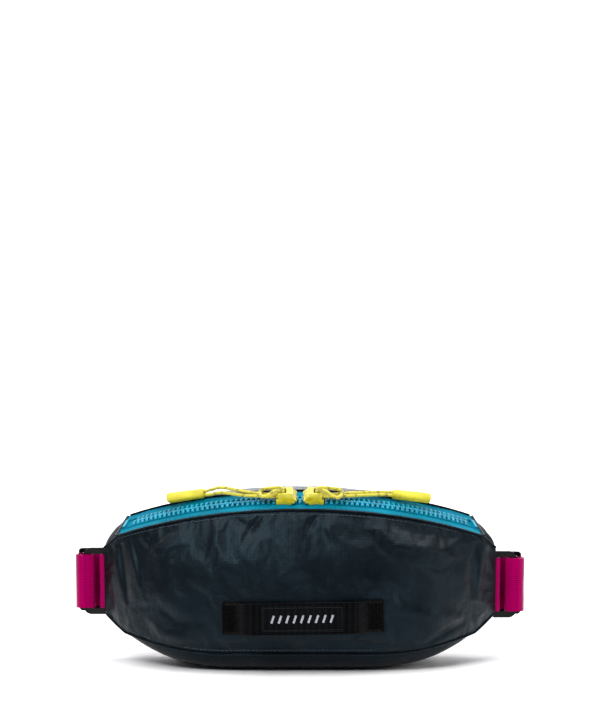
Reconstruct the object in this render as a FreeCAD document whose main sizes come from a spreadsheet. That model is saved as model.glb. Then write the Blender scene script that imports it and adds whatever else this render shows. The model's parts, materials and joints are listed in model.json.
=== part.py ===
import FreeCAD, Part
import Sketcher
import math
import os
from FreeCAD import Placement, Rotation, Vector

# A hip pack: a boat-shaped fabric bag with a two-slider moulded zip across its top, a webbing
# light loop on its front, and a webbing belt joined to each wing by a ring. Millimetres, +Z up.
# The origin lies on the resting plane under the bag's centre, the front faces -Y, +X is right.

DIMENSIONS = [
    ("Bag body", [
        ("half_length", 139.0),
        ("front_depth", 46.0),
        ("front_taper_power", 3.0),
        ("wing_front_y", 16.5),
        ("back_depth", 38.0),
        ("back_curve", 12.0),
        ("wing_top_y", 16.8),
        ("wing_top_z", 80.0),
        ("wing_low_z", 34.5),
        ("flat_half_length", 50.0),
        ("bottom_curve_power", 2.2),
        ("gusset_rise", 13.5),
        ("gusset_end", 125.0),
        ("back_seam_rise", 6.0),
        ("back_top_z", 118.5),
        ("back_top_drop", 34.0),
        ("back_top_power", 2.5),
        ("crown_rise", 1.8),
        ("seam_gap", 0.5),
        ("shell_cloth", 1.2),
        ("lining_cloth", 0.6),
        ("foam_thickness", 4.0),
        ("back_half_length", 131.0),
        ("pocket_width", 150.0),
        ("pocket_height", 62.0),
    ]),
    ("Zip", [
        ("chain_radius", 220.0),
        ("chain_half_angle", 34.5),
        ("chain_plane_drop", 32.5),
        ("tape_tilt", 27.0),
        ("chain_centre_y", -16.0),
        ("chain_centre_z", 116.6),
        ("front_tape_width", 11.5),
        ("back_tape_width", 12.0),
        ("tape_thickness", 0.6),
        ("tooth_inner", 0.9),
        ("tooth_outer", 4.2),
        ("tooth_thickness", 3.0),
        ("tooth_length", 1.9),
        ("tooth_pitch", 3.57),
        ("slider_length", 13.0),
        ("slider_rest_x", 9.7),
        ("plate_inner", 1.9),
        ("plate_thickness", 1.4),
        ("bail_height", 7.3),
        ("bail_offset", 4.0),
        ("bail_radius", 1.0),
        ("bail_post", 1.4),
        ("bail_opening", 6.2),
        ("cheek_length", 10.0),
        ("cheek_middle", -0.2),
        ("roof_length", 4.2),
        ("roof_middle", 2.7),
        ("pull_cord_diameter", 2.4),
        ("grip_radius", 3.5),
        ("grip_length", 26.0),
    ]),
    ("Light loop", [
        ("loop_width", 22.0),
        ("loop_centre_z", 39.5),
        ("loop_thickness", 1.2),
        ("loop_tilt", 0.9),
        ("patch_width", 56.0),
        ("patch_height", 18.0),
        ("patch_thickness", 0.6),
    ]),
    ("Belt", [
        ("webbing_width", 38.0),
        ("webbing_thickness", 1.5),
        ("anchor_bar_x", 138.4),
        ("anchor_bar_y", 22.0),
        ("belt_height", 56.3),
        ("right_side_drop", 2.5),
        ("bar_pitch", 14.2),
        ("bar_size", 3.0),
        ("ring_window", 38.8),
        ("ring_rail", 4.4),
        ("ring_corner", 6.0),
        ("belt_rest_angle", 15.0),
        ("glide_start", -3.0),
        ("glide_length", 24.0),
        ("glide_height", 45.0),
        ("glide_thickness", 2.6),
        ("glide_offset", 10.0),
        ("glide_slot", 7.5),
        ("ply_pitch", 1.9),
        ("hank_outer", 34.0),
        ("hank_inner", 92.0),
        ("keeper_start", 56.0),
        ("keeper_length", 12.0),
        ("keeper_wall", 1.2),
    ]),
    ("Buckle", [
        ("buckle_bar", 104.0),
        ("socket_length", 40.0),
        ("socket_width", 47.0),
        ("buckle_thickness", 11.5),
        ("socket_wall", 2.0),
        ("socket_depth", 25.0),
        ("plug_base_length", 16.0),
        ("prong_length", 27.0),
        ("prong_gap", 0.9),
        ("prong_outer", 20.0),
        ("prong_width", 6.0),
        ("prong_thickness", 5.0),
        ("tongue_length", 22.0),
        ("tongue_width", 10.0),
        ("tongue_thickness", 3.0),
    ]),
]

# The pull cords' routes from the grip, round the bail and back to the grip, in the frame of the
# bail's bar: outward along the zip, back across the tape, up from the tape.
LEFT_PULL_ROUTE = [
    (53.5, 17.0, -7.9), (48.5, 16.7, -6.5), (43.0, 14.9, -3.5), (36.0, 11.0, -2.3),
    (28.0, 6.3, -1.8), (20.0, 3.8, -2.0), (13.0, 2.6, -2.7), (8.0, 1.6, -2.9),
    (3.4, 1.4, -2.5), (-2.4, 1.3, -2.4), (-2.4, 1.5, 2.4), (3.4, 1.7, 2.7),
    (7.4, 2.9, 1.5), (11.2, 3.8, 0.7), (13.8, 1.5, 0.3), (13.6, -2.2, 0.1),
    (11.0, -5.2, -0.5), (7.2, -4.4, 0.4), (3.4, -1.7, 2.7), (-2.4, -1.5, 2.4),
    (-2.4, -1.3, -2.4), (3.4, -1.4, -2.5), (8.0, -1.2, -2.9), (13.0, 0.1, -2.7),
    (20.0, 1.4, -3.4), (28.0, 4.1, -3.9), (36.0, 8.8, -5.0), (43.0, 12.7, -6.5),
    (48.5, 14.5, -9.1), (53.5, 15.0, -9.4),
]
RIGHT_PULL_ROUTE = [
    (51.0, 15.2, -7.9), (46.0, 15.2, -7.4), (41.0, 12.6, -6.2), (34.0, 10.0, -5.1),
    (26.0, 7.0, -3.9), (18.5, 4.4, -3.0), (12.0, 2.5, -2.8), (8.0, 1.6, -2.9),
    (3.4, 1.4, -2.5), (-2.4, 1.3, -2.4), (-2.4, 1.5, 2.4), (3.4, 1.7, 2.7),
    (7.6, 2.9, 1.5), (12.0, 3.9, 0.7), (15.4, 1.8, 0.3), (15.2, -2.2, 0.0),
    (12.0, -5.8, -0.9), (7.8, -5.0, 0.1), (3.4, -1.7, 2.7), (-2.4, -1.5, 2.4),
    (-2.4, -1.3, -2.4), (3.4, -1.4, -2.5), (8.0, -1.0, -2.9), (12.0, 0.0, -2.8),
    (18.5, 2.0, -3.8), (26.0, 4.6, -4.7), (34.0, 7.6, -5.9), (41.0, 10.2, -7.0),
    (46.0, 12.8, -8.2), (51.0, 12.8, -8.6),
]

doc = FreeCAD.newDocument("hip_pack")
sheet = doc.addObject("Spreadsheet::Sheet", "dims")


def fill_sheet():
    """Write each driving dimension beside its name and give its cell that alias."""
    row = 1
    for heading, entries in DIMENSIONS:
        sheet.set(f"A{row}", heading)
        row += 1
        for alias, value in entries:
            sheet.set(f"A{row}", alias)
            sheet.set(f"B{row}", str(value))
            sheet.setAlias(f"B{row}", alias)
            row += 1
    doc.recompute()


fill_sheet()


def dim(alias):
    """One driving dimension, read from the sheet."""
    return float(getattr(sheet, alias))


def taper(x, power):
    """How far along the half length x lies, raised to a power."""
    return (abs(x) / dim("half_length")) ** power


# ---------------------------------------------------------------- zip frame

tilt = math.radians(dim("tape_tilt"))
drop = math.radians(dim("chain_plane_drop"))
ZIP_CENTRE = Vector(0, dim("chain_centre_y"), dim("chain_centre_z"))
ACROSS = Vector(0, math.cos(tilt), math.sin(tilt))
INTO_ARC = Vector(0, math.cos(drop), -math.sin(drop))
ZIP_AXIS = Vector(0, math.sin(drop), math.cos(drop))
ARC_CENTRE = ZIP_CENTRE + INTO_ARC * dim("chain_radius")


def on_zip(across, x):
    """The point of the zip's surface at a distance across the tape and at a place x."""
    radius = dim("chain_radius") - across * ACROSS.dot(INTO_ARC)
    fall = radius - math.sqrt(radius ** 2 - x ** 2)
    point = ZIP_CENTRE + ACROSS * across + INTO_ARC * fall
    return Vector(x, point.y, point.z)


def zip_place(angle):
    """The frame of the chain at an angle round its arc: x along it, y across, z out of it."""
    turn = Placement(Vector(), Rotation(ZIP_AXIS, angle), ARC_CENTRE)
    return turn.multiply(Placement(ZIP_CENTRE, Rotation(Vector(1, 0, 0), dim("tape_tilt"))))


SLIDER_REST_ANGLE = math.degrees(math.asin(dim("slider_rest_x") / dim("chain_radius")))


def slider_place(side):
    """The frame of a slider at rest, with its nose towards the bag's centre."""
    face_centre = Placement(Vector(), Rotation(Vector(0, 0, 1), 180 if side > 0 else 0))
    return zip_place(side * SLIDER_REST_ANGLE).multiply(face_centre)


def bail_bar(side):
    """The middle of a slider's bail bar."""
    return slider_place(side).multVec(Vector(-dim("bail_offset"), 0, dim("bail_height")))


def pull_point(side, route_point):
    """A point of a pull, given outward along the zip, across the tape and up from it."""
    outward, across, up = route_point
    turn = slider_place(side).Rotation
    along = turn.multVec(Vector(-1, 0, 0))
    back = turn.multVec(Vector(0, -side, 0))
    return bail_bar(side) + along * outward + back * across + turn.multVec(Vector(0, 0, 1)) * up


# ---------------------------------------------------------------- seams of the bag

def front_y(x):
    """How far forward the front panel stands."""
    return -dim("front_depth") + (dim("wing_front_y") + dim("front_depth")) * taper(
        x, dim("front_taper_power"))


def back_y(x):
    """The back panel's outer face."""
    return dim("back_depth") - dim("back_curve") * taper(x, 2)


def low_z(x):
    """The underside: flat under the middle, rising to the wings."""
    past = max(0.0, abs(x) - dim("flat_half_length"))
    share = past / (dim("half_length") - dim("flat_half_length"))
    return dim("wing_low_z") * share ** dim("bottom_curve_power")


def front_seam_z(x):
    """The height of the seam between the front panel and the bottom gusset."""
    share = max(0.08, 1 - (abs(x) / dim("gusset_end")) ** 4)
    return low_z(x) + dim("gusset_rise") * share


def front_seam_y(x):
    return front_y(x) + 8 * (1 - 0.97 * taper(x, 2))


def top_seam(x):
    """The seam between the front panel and the zip, carried on to the wing's top corner."""
    across = -dim("front_tape_width") - 2 * dim("seam_gap")
    radius = dim("chain_radius") - across * ACROSS.dot(INTO_ARC)
    zip_end = radius * math.sin(math.radians(dim("chain_half_angle")))
    if abs(x) <= zip_end:
        return on_zip(across, x)
    corner = on_zip(across, math.copysign(zip_end, x))
    tip = Vector(math.copysign(dim("half_length"), x), dim("wing_top_y"), dim("wing_top_z"))
    share = (abs(x) - zip_end) / (dim("half_length") - zip_end)
    return corner + (tip - corner) * share


def back_seam(x):
    """The seam at the top of the back panel."""
    return Vector(x, back_y(x), dim("back_top_z") - dim("back_top_drop") * taper(
        x, dim("back_top_power")))


def back_low_z(x):
    return low_z(x) + dim("back_seam_rise") * (1 - 0.5 * taper(x, 2))


# ---------------------------------------------------------------- helpers

def feature(label, shape, place=Placement()):
    """A sub-part whose shape is made directly."""
    item = doc.addObject("Part::Feature", label)
    item.Label = label
    item.Shape = shape
    item.Placement = place
    return item


def band(points, inward, thickness, near=0.0, smooth=True):
    """A closed section: a line through points, thickened inward from a depth near."""
    def edge(depth):
        moved = []
        for i, point in enumerate(points):
            along = points[min(i + 1, len(points) - 1)] - points[max(i - 1, 0)]
            side = along.cross(Vector(1, 0, 0)).normalize()
            if side.dot(inward[i] if isinstance(inward, list) else inward) < 0:
                side = -side
            moved.append(point + side * depth)
        return moved

    outer, inner = edge(near), edge(near + thickness)

    def line(row):
        if not smooth:
            return Part.makePolygon(row).Edges
        curve = Part.BSplineCurve()
        curve.interpolate(row)
        return [curve.toShape()]

    edges = line(outer) + [Part.makeLine(outer[-1], inner[-1])]
    edges += line(inner[::-1]) + [Part.makeLine(inner[0], outer[0])]
    return Part.Wire(edges)


def loft(sections, ruled=False):
    return Part.makeLoft(sections, True, ruled)


def mirrored_stations(places):
    """Stations from left to right, the same on both sides of the centre."""
    return [-x for x in reversed(places) if x > 0] + list(places)


def ring_of(points):
    """A closed flat face through corner points."""
    return Part.Face(Part.makePolygon(points + points[:1]))


# ---------------------------------------------------------------- bag panels

FRONT_STATIONS = mirrored_stations([0, 25, 50, 75, 95, 110, 121, 131, dim("half_length")])
BACK_STATIONS = mirrored_stations([0, 35, 70, 98, 118, dim("back_half_length")])
INWARD_FROM_FRONT = Vector(0, 1, 0)
INWARD_FROM_BACK = Vector(0, -1, 0)


def front_line(x, low=0.0, high=1.0, count=7):
    """Points of the front panel's outer face from its bottom seam to its top seam."""
    top = top_seam(x)
    seam_y, seam_z = front_seam_y(x), front_seam_z(x) + dim("seam_gap")
    reach = front_y(x)
    points = []
    for i in range(count):
        rise = low + (high - low) * i / (count - 1)
        y = reach
        if rise < 0.3:
            y += (seam_y - reach) * (1 - rise / 0.3) ** 2.2
        else:
            y += (top.y - reach) * ((rise - 0.3) / 0.7) ** 2.2
        points.append(Vector(x, y, seam_z + (top.z - seam_z) * rise))
    return points


def make_front_panel():
    sections = [band(front_line(x), INWARD_FROM_FRONT, dim("shell_cloth")) for x in FRONT_STATIONS]
    return feature("front_panel", loft(sections))


def bottom_line(x):
    """The bottom gusset's outline: up to the front seam, flat below, up to the back seam."""
    y0, z0 = front_seam_y(x) + 0.6, front_seam_z(x) - 2 * dim("seam_gap")
    y1, z1 = back_y(x) - 1.4, back_low_z(x) - 2 * dim("seam_gap")
    low, width = low_z(x), y1 - y0
    return [
        Vector(x, y0, z0),
        Vector(x, y0 + 0.12 * width, low + 0.32 * (z0 - low)),
        Vector(x, y0 + 0.32 * width, low),
        Vector(x, y1 - 0.15 * width, low),
        Vector(x, y1, z1),
    ]


BOTTOM_STATIONS = mirrored_stations([25, dim("flat_half_length"), 66, 82, 96, 108, 118, 126, 132])


def make_bottom_gusset():
    sections = [
        band(bottom_line(x), Vector(0, 0, 1), dim("shell_cloth"), smooth=False)
        for x in BOTTOM_STATIONS
    ]
    return feature("bottom_gusset", loft(sections, ruled=True))


def back_line(x, margin=0.0):
    """The back panel's outer face from bottom seam to top seam."""
    top = back_seam(x)
    low = back_low_z(x) + margin
    return [
        Vector(x, back_y(x) - 2.0 * abs(rise - 0.45) ** 2, low + (top.z - margin - low) * rise)
        for rise in (0.0, 0.25, 0.5, 0.75, 1.0)
    ]


def make_back_panel():
    sections = [band(back_line(x), INWARD_FROM_BACK, dim("shell_cloth")) for x in BACK_STATIONS]
    return feature("back_panel", loft(sections))


def make_back_foam():
    """The padding behind the back panel, a little smaller all round."""
    near = dim("shell_cloth") + 0.3
    stations = mirrored_stations([0, 35, 70, 98, 114])
    sections = [band(back_line(x, 3.0), INWARD_FROM_BACK, dim("foam_thickness"), near)
                for x in stations]
    return feature("back_foam", loft(sections))


def top_line(x):
    """The top gusset from the zip's back edge, over its crown, to the back panel's seam."""
    start = on_zip(dim("back_tape_width") + 2 * dim("seam_gap"), x)
    end = back_seam(x) + Vector(0, -0.2, dim("seam_gap") + dim("shell_cloth"))
    rise = max(0.6, dim("crown_rise") * (1 - taper(x, 2)))
    return [
        start,
        start * 0.7 + end * 0.3 + Vector(0, 0, 0.7 * rise),
        start * 0.35 + end * 0.65 + Vector(0, 0, rise),
        end,
    ]


def back_tape_end():
    """How far along X the zip's back edge reaches."""
    radius = dim("chain_radius") - dim("back_tape_width") * ACROSS.dot(INTO_ARC)
    return radius * math.sin(math.radians(dim("chain_half_angle")))


def make_top_gusset():
    last = back_tape_end() - 0.4
    stations = mirrored_stations([0, 30, 60, 85, last])
    sections = [band(top_line(x), Vector(0, 0, -1), dim("shell_cloth")) for x in stations]
    return feature("top_gusset", loft(sections))


def make_shoulder(side, label):
    """The gusset past one end of the zip, closing the bag out to its wing."""
    gap = dim("seam_gap")
    place = zip_place(side * (dim("chain_half_angle") + 0.35))
    front_end = place.multVec(Vector(0, 1.2 - dim("front_tape_width"), 0))
    back_end = place.multVec(Vector(0, dim("back_tape_width"), 0))
    above_seam = Vector(0, -0.6, 2 * gap + dim("shell_cloth"))
    seam_end = back_seam(side * (back_tape_end() + 1.2)) + above_seam
    first = [front_end, front_end * 0.5 + back_end * 0.5, back_end, seam_end]
    middle_x = side * 133.0
    start, end = top_seam(middle_x) + Vector(0, 1.6, gap), back_seam(middle_x) + above_seam
    crown = Vector(0, 0, 4.0)
    middle = [start, start * 0.65 + end * 0.35 + crown, start * 0.3 + end * 0.7 + crown * 0.7, end]
    last_x = side * (dim("half_length") - 1.0)
    start, end = top_seam(last_x) + Vector(0, 1.8, gap), Vector(last_x, 25.6, 82.0)
    last = [start, start * 0.65 + end * 0.35, start * 0.3 + end * 0.7, end]
    surface = Part.BSplineSurface()
    surface.interpolate([first, middle, last])
    inward = Vector(-side * 0.5, 0, -0.87)
    return feature(label, surface.toShape().extrude(inward * dim("shell_cloth")))


def lining_line(x):
    """The lining's outer face: down inside the front, along the bottom and up inside the back."""
    slack = 0.5 + 1.5 * taper(x, 4)
    front = [p + Vector(0, 1.9 + slack, 0) for p in front_line(x, 0.15, 0.93, 4)]
    base = bottom_line(x)
    rise = dim("shell_cloth") + 0.9
    rear = back_y(x) - dim("shell_cloth") - dim("foam_thickness") - 1.6 - slack
    floor = [base[1] + Vector(0, 1.5, rise + 0.6), base[2] + Vector(0, 0, rise),
             Vector(x, rear - 6, base[3].z + rise)]
    top = back_seam(x).z - 6
    return front[::-1] + floor + [Vector(x, rear, base[3].z + 9), Vector(x, rear, top)]


def make_lining():
    """The lining: one loose U of thin cloth inside the front, bottom and back."""
    sections = []
    for x in mirrored_stations([0, 25, 50, 66, 82, 96, 108]):
        points = lining_line(x)
        middle = Vector(x, (points[0].y + points[-1].y) / 2, (points[0].z + low_z(x)) / 2)
        inward = [middle - p for p in points]
        sections.append(band(points, inward, dim("lining_cloth"), smooth=False))
    return feature("lining", loft(sections, ruled=True))


# ---------------------------------------------------------------- zip

def zip_strip(near, far, thickness, half_angle, lift=0.0):
    """A strip of the zip's surface between two distances across it."""
    low, high = lift - thickness / 2, lift + thickness / 2
    corners = [(near, low), (far, low), (far, high), (near, high)]
    place = zip_place(-half_angle)
    face = ring_of([place.multVec(Vector(0, across, up)) for across, up in corners])
    return face.revolve(ARC_CENTRE, ZIP_AXIS, 2 * half_angle)


def make_tape(label, near, far):
    return feature(label, zip_strip(near, far, dim("tape_thickness"), dim("chain_half_angle")))


def make_teeth(label, side, shift):
    """One row of moulded teeth, clamped on the tape's inner edge."""
    inner, outer = dim("tooth_inner"), dim("tooth_outer")
    length, thick = dim("tooth_length"), dim("tooth_thickness")
    step = math.degrees(dim("tooth_pitch") / dim("chain_radius"))
    count = int((dim("chain_half_angle") - 2.3) / step)
    teeth = []
    for i in range(-count, count + 1):
        tooth = Part.makeBox(length, outer - inner, thick, Vector(-length / 2, 0, -thick / 2))
        tooth.translate(Vector(0, inner if side > 0 else -outer, 0))
        tooth.transformShape(zip_place((i + shift) * step).toMatrix())
        teeth.append(tooth)
    return feature(label, Part.makeCompound(teeth))


def make_zip_stop(label, side):
    """The moulded block that stops a slider at one end of the chain."""
    width, thick = 2 * dim("tooth_outer"), dim("tooth_thickness") + 0.6
    block = Part.makeBox(2.4, width, thick, Vector(-1.2, -width / 2, -thick / 2))
    gap = Part.makeBox(2.4, width, dim("tape_thickness") + 0.1,
                       Vector(-1.2, dim("tooth_outer") - 1.0, -dim("tape_thickness") / 2 - 0.05))
    other = gap.copy()
    other.translate(Vector(0, -2 * dim("tooth_outer") + 2.0 - width, 0))
    block = block.cut(gap).cut(other)
    return feature(label, block, zip_place(side * (dim("chain_half_angle") - 0.75)))


# ---------------------------------------------------------------- sketch helpers

def origin_plane(body, role):
    return next(f for f in body.Origin.OriginFeatures if f.Role == role)


def new_body(label, place=Placement()):
    body = doc.addObject("PartDesign::Body", label)
    body.Label = label
    body.Placement = place
    return body


def new_sketch(body, name, role, lift=0.0, shift=(0.0, 0.0)):
    sketch = body.newObject("Sketcher::SketchObject", name)
    sketch.AttachmentSupport = [(origin_plane(body, role), "")]
    sketch.MapMode = "FlatFace"
    sketch.AttachmentOffset = Placement(Vector(shift[0], shift[1], lift), Rotation())
    return sketch


def rectangle(body, name, role, width, height, lift=0.0, shift=(0.0, 0.0)):
    """A rectangle about the sketch's origin, its two sides bound to sheet expressions."""
    sketch = new_sketch(body, name, role, lift, shift)
    corners = [Vector(-5, -5, 0), Vector(5, -5, 0), Vector(5, 5, 0), Vector(-5, 5, 0)]
    for i in range(4):
        sketch.addGeometry(Part.LineSegment(corners[i], corners[(i + 1) % 4]), False)
    for i in range(4):
        sketch.addConstraint(Sketcher.Constraint("Coincident", i, 2, (i + 1) % 4, 1))
    for i, kind in enumerate(("Horizontal", "Vertical", "Horizontal", "Vertical")):
        sketch.addConstraint(Sketcher.Constraint(kind, i))
    sketch.addConstraint(Sketcher.Constraint("Symmetric", 0, 1, 1, 2, -1, 1))
    across = sketch.addConstraint(Sketcher.Constraint("Distance", 0, 10.0))
    upright = sketch.addConstraint(Sketcher.Constraint("Distance", 1, 10.0))
    sketch.setExpression(f"Constraints[{across}]", width)
    sketch.setExpression(f"Constraints[{upright}]", height)
    return sketch


def outline(body, name, role, points, lift=0.0):
    """A closed outline of straight lines through points."""
    sketch = new_sketch(body, name, role, lift)
    corners = [Vector(x, y, 0) for x, y in points]
    for i, corner in enumerate(corners):
        sketch.addGeometry(Part.LineSegment(corner, corners[(i + 1) % len(corners)]), False)
    for i in range(len(corners)):
        sketch.addConstraint(Sketcher.Constraint("Coincident", i, 2, (i + 1) % len(corners), 1))
    return sketch


def pad(body, sketch, name, length, symmetric=True):
    item = body.newObject("PartDesign::Pad", name)
    item.Profile = sketch
    item.SideType = "Symmetric" if symmetric else "One side"
    item.setExpression("Length", length)
    return item


def pocket(body, sketch, name, length, symmetric=True, reverse=False):
    """A pocket, checked to have cut something."""
    doc.recompute()
    before = body.Shape.Volume
    item = body.newObject("PartDesign::Pocket", name)
    item.Profile = sketch
    item.SideType = "Symmetric" if symmetric else "One side"
    item.Reversed = reverse
    item.setExpression("Length", length)
    doc.recompute()
    if body.Shape.Volume > before - 0.5:
        raise RuntimeError(f"{body.Label}: {name} cuts nothing")
    return item


def round_edges(body, name, radius, chosen):
    """Round the edges of the body's last feature that chosen(edge) picks."""
    doc.recompute()
    base = body.Tip
    edges = [f"Edge{i + 1}" for i, edge in enumerate(base.Shape.Edges) if chosen(edge)]
    item = body.newObject("PartDesign::Fillet", name)
    item.Base = (base, edges)
    item.setExpression("Radius", radius)
    return item


def runs_along(edge, axis):
    ends = edge.Vertexes
    if len(ends) != 2:
        return False
    return abs((ends[1].Point - ends[0].Point).normalize().dot(axis)) > 0.999


# ---------------------------------------------------------------- webbing

def rounded_route(points, radii):
    """Straight runs with tangent arcs between points, as (start, end, centre or None)."""
    pieces, start = [], points[0]
    for i in range(1, len(points) - 1):
        before = (points[i - 1] - points[i]).normalize()
        after = (points[i + 1] - points[i]).normalize()
        half_turn = (math.pi - before.getAngle(after)) / 2
        reach = radii[i - 1] * math.tan(half_turn)
        enter, leave = points[i] + before * reach, points[i] + after * reach
        middle = (before + after).normalize()
        centre = points[i] + middle * (radii[i - 1] / math.cos(half_turn))
        pieces.append((start, enter, None))
        pieces.append((enter, leave, centre))
        start = leave
    pieces.append((start, points[-1], None))
    return pieces


def strap_geometry(points, radii, thickness):
    """The outline of a strap seen from above: the route offset to both sides and capped."""
    pieces = rounded_route(points, radii)

    def side_of(piece, distance):
        start, end, centre = piece
        if centre is None:
            aside = (end - start).normalize().cross(Vector(0, 0, 1)) * distance
            return Part.LineSegment(start + aside, end + aside)
        turns_left = (start - centre).cross(end - centre).z > 0
        radius = (start - centre).Length + (distance if turns_left else -distance)
        middle = ((start - centre) + (end - centre)).normalize() * radius + centre
        first = centre + (start - centre).normalize() * radius
        last = centre + (end - centre).normalize() * radius
        return Part.Arc(first, middle, last)

    right = [side_of(piece, thickness / 2) for piece in pieces]
    left = [side_of(piece, -thickness / 2) for piece in pieces]
    ends = [
        Part.LineSegment(left[0].StartPoint, right[0].StartPoint),
        Part.LineSegment(right[-1].EndPoint, left[-1].EndPoint),
    ]
    return right + left + ends


def strap_length(points, radii):
    total = 0.0
    for start, end, centre in rounded_route(points, radii):
        if centre is None:
            total += (end - start).Length
        else:
            total += (start - centre).getAngle(end - centre) * (start - centre).Length
    return total


def make_strap(label, points, radii, place, width="dims.webbing_width", thickness=None):
    """A strap standing on its edge, padded to the webbing's width."""
    body = new_body(label, place)
    sketch = new_sketch(body, f"{label}_path", "XY_Plane")
    thickness = thickness or dim("webbing_thickness")
    sketch.addGeometry(strap_geometry(points, radii, thickness), False)
    pad(body, sketch, f"{label}_webbing", width)
    return body


def route(pairs, mirror=1):
    return [Vector(mirror * x, y, 0) for x, y in pairs]


# ---------------------------------------------------------------- light loop

def loop_points():
    """The light loop from above: flat on the panel at both ends, standing off between."""
    ends = dim("seam_gap") - 0.1 + dim("loop_thickness") / 2
    stand = -dim("front_depth") - 5.2 - dim("loop_thickness") / 2

    def on_panel(x):
        return (x, front_y(x) - ends)

    return [on_panel(-52.9), on_panel(-42.0), (-35.5, stand), (38.5, stand),
            on_panel(45.0), on_panel(57.0)]


def loop_place():
    turn = Rotation(Vector(0, 1, 0), -dim("loop_tilt"))
    return Placement(Vector(0, 0, dim("loop_centre_z")), turn)


def make_light_loop():
    return make_strap("light_loop", route(loop_points()), [6.0, 3.0, 3.0, 6.0], loop_place(),
                      "dims.loop_width", dim("loop_thickness"))


def make_label_patch():
    """The sewn patch on the loop's raised face."""
    face = dim("front_depth") + 5.2 + dim("loop_thickness") + dim("patch_thickness") / 2 + 0.05
    place = loop_place().multiply(Placement(Vector(1.5, -face, 0), Rotation()))
    body = new_body("label_patch", place)
    sketch = rectangle(body, "patch_outline", "XZ_Plane", "dims.patch_width", "dims.patch_height")
    pad(body, sketch, "patch", "dims.patch_thickness")
    return body


def make_inner_pocket():
    """The flat slip pocket sewn on the lining's back."""
    depth = dim("back_depth") - dim("shell_cloth") - dim("foam_thickness") - 7.5
    body = new_body("inner_pocket", Placement(Vector(0, depth, 20 + dim("pocket_height") / 2),
                                              Rotation()))
    sketch = rectangle(body, "pocket_outline", "XZ_Plane", "dims.pocket_width",
                       "dims.pocket_height")
    pad(body, sketch, "pocket_cloth", "dims.lining_cloth")
    return body


# ---------------------------------------------------------------- sliders and pulls

def make_slider(label, side):
    """A slider: two plates joined by the post between the parted teeth, under a raised bridge
    whose two cheeks carry the bar that the pull cord is looped on."""
    half, nose = dim("slider_length") / 2, 7.8
    body = new_body(label, slider_place(side))
    plate = [(-half, -5.3), (-half + 0.8, -5.8), (-1.0, -5.3), (half - 1.2, -6.7),
             (half - 0.2, -6.2), (half - 0.6, -3.0), (nose, 0.0), (half - 0.6, 3.0),
             (half - 0.2, 6.2), (half - 1.2, 6.7), (-1.0, 5.3), (-half + 0.8, 5.8), (-half, 5.3)]
    height = "2 * (dims.plate_inner + dims.plate_thickness)"
    pad(body, outline(body, "plate_outline", "XY_Plane", plate), "plates", height)
    channel = [(-half - 1, -4.6), (-half - 1, 4.6), (2.0, 4.6), (4.6, 1.4), (3.2, 0.6),
               (3.2, -0.6), (4.6, -1.4), (2.0, -4.6)]
    mouth = [(3.2, -0.6), (nose + 1, -0.6), (nose + 1, -8.0), (half - 0.8, -8.0), (2.0, -4.6)]
    gap = "2 * dims.plate_inner"
    pocket(body, outline(body, "channel_outline", "XY_Plane", channel), "channel", gap)
    for name, turn in (("front", 1), ("back", -1)):
        corners = [(x, turn * y) for x, y in mouth]
        pocket(body, outline(body, f"{name}_mouth_outline", "XY_Plane", corners),
               f"{name}_mouth", gap)
        slit = rectangle(body, f"{name}_slit_outline", "XZ_Plane", "dims.slider_length * 2",
                         "dims.tape_thickness + 0.7", turn * 6.0)
        pocket(body, slit, f"{name}_tape_slit", "7")
    cheek_y = (dim("bail_opening") + dim("bail_post")) / 2
    top = dim("plate_inner") + dim("plate_thickness")
    for name, y in (("front", -cheek_y), ("back", cheek_y)):
        cheek = rectangle(body, f"{name}_cheek_outline", "XY_Plane", "dims.cheek_length",
                          "dims.bail_post", top - 0.4, (dim("cheek_middle"), y))
        rise = "dims.bail_height + dims.bail_radius - dims.plate_inner - dims.plate_thickness + 0.4"
        pad(body, cheek, f"{name}_cheek", rise, symmetric=False)
    roof_lift = dim("bail_height") + dim("bail_radius") - dim("plate_thickness")
    roof = rectangle(body, "roof_outline", "XY_Plane", "dims.roof_length",
                     "dims.bail_opening + dims.bail_post", roof_lift, (dim("roof_middle"), 0.0))
    pad(body, roof, "roof", "dims.plate_thickness", symmetric=False)
    bar = new_sketch(body, "bar_outline", "XZ_Plane")
    centre = Vector(-dim("bail_offset"), dim("bail_height"), 0)
    bar.addGeometry(Part.Circle(centre, Vector(0, 0, 1), dim("bail_radius")), False)
    reach = bar.addConstraint(Sketcher.Constraint("Radius", 0, dim("bail_radius")))
    bar.setExpression(f"Constraints[{reach}]", "dims.bail_radius")
    pad(body, bar, "bail_bar", "dims.bail_opening + dims.bail_post")
    return body


def cord_tube(points, diameter, label):
    """A tube along straight runs joined by arcs as large as the runs allow."""
    edges, start, radii = [], points[0], []
    for i in range(1, len(points) - 1):
        before, after = points[i - 1] - points[i], points[i + 1] - points[i]
        reach = 0.45 * min(before.Length, after.Length)
        before.normalize()
        after.normalize()
        half_turn = (math.pi - before.getAngle(after)) / 2
        radius = reach / math.tan(half_turn)
        radii.append(radius)
        enter, leave = points[i] + before * reach, points[i] + after * reach
        aside = (before + after).normalize()
        depth = radius / math.cos(half_turn) - radius
        edges.append(Part.LineSegment(start, enter).toShape())
        edges.append(Part.Arc(enter, points[i] + aside * depth, leave).toShape())
        start = leave
    edges.append(Part.LineSegment(start, points[-1]).toShape())
    path = Part.Wire(edges)
    profile = Part.Wire(Part.makeCircle(diameter / 2, points[0], points[1] - points[0]))
    tube = path.makePipeShell([profile], True, False)
    expected = math.pi * diameter ** 2 / 4 * path.Length
    print(f"{label}: {path.Length:.1f} mm long, radii {min(radii):.1f} to {max(radii):.1f} mm, "
          f"volume {tube.Volume / expected:.4f} of its section times its length")
    return tube


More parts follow.
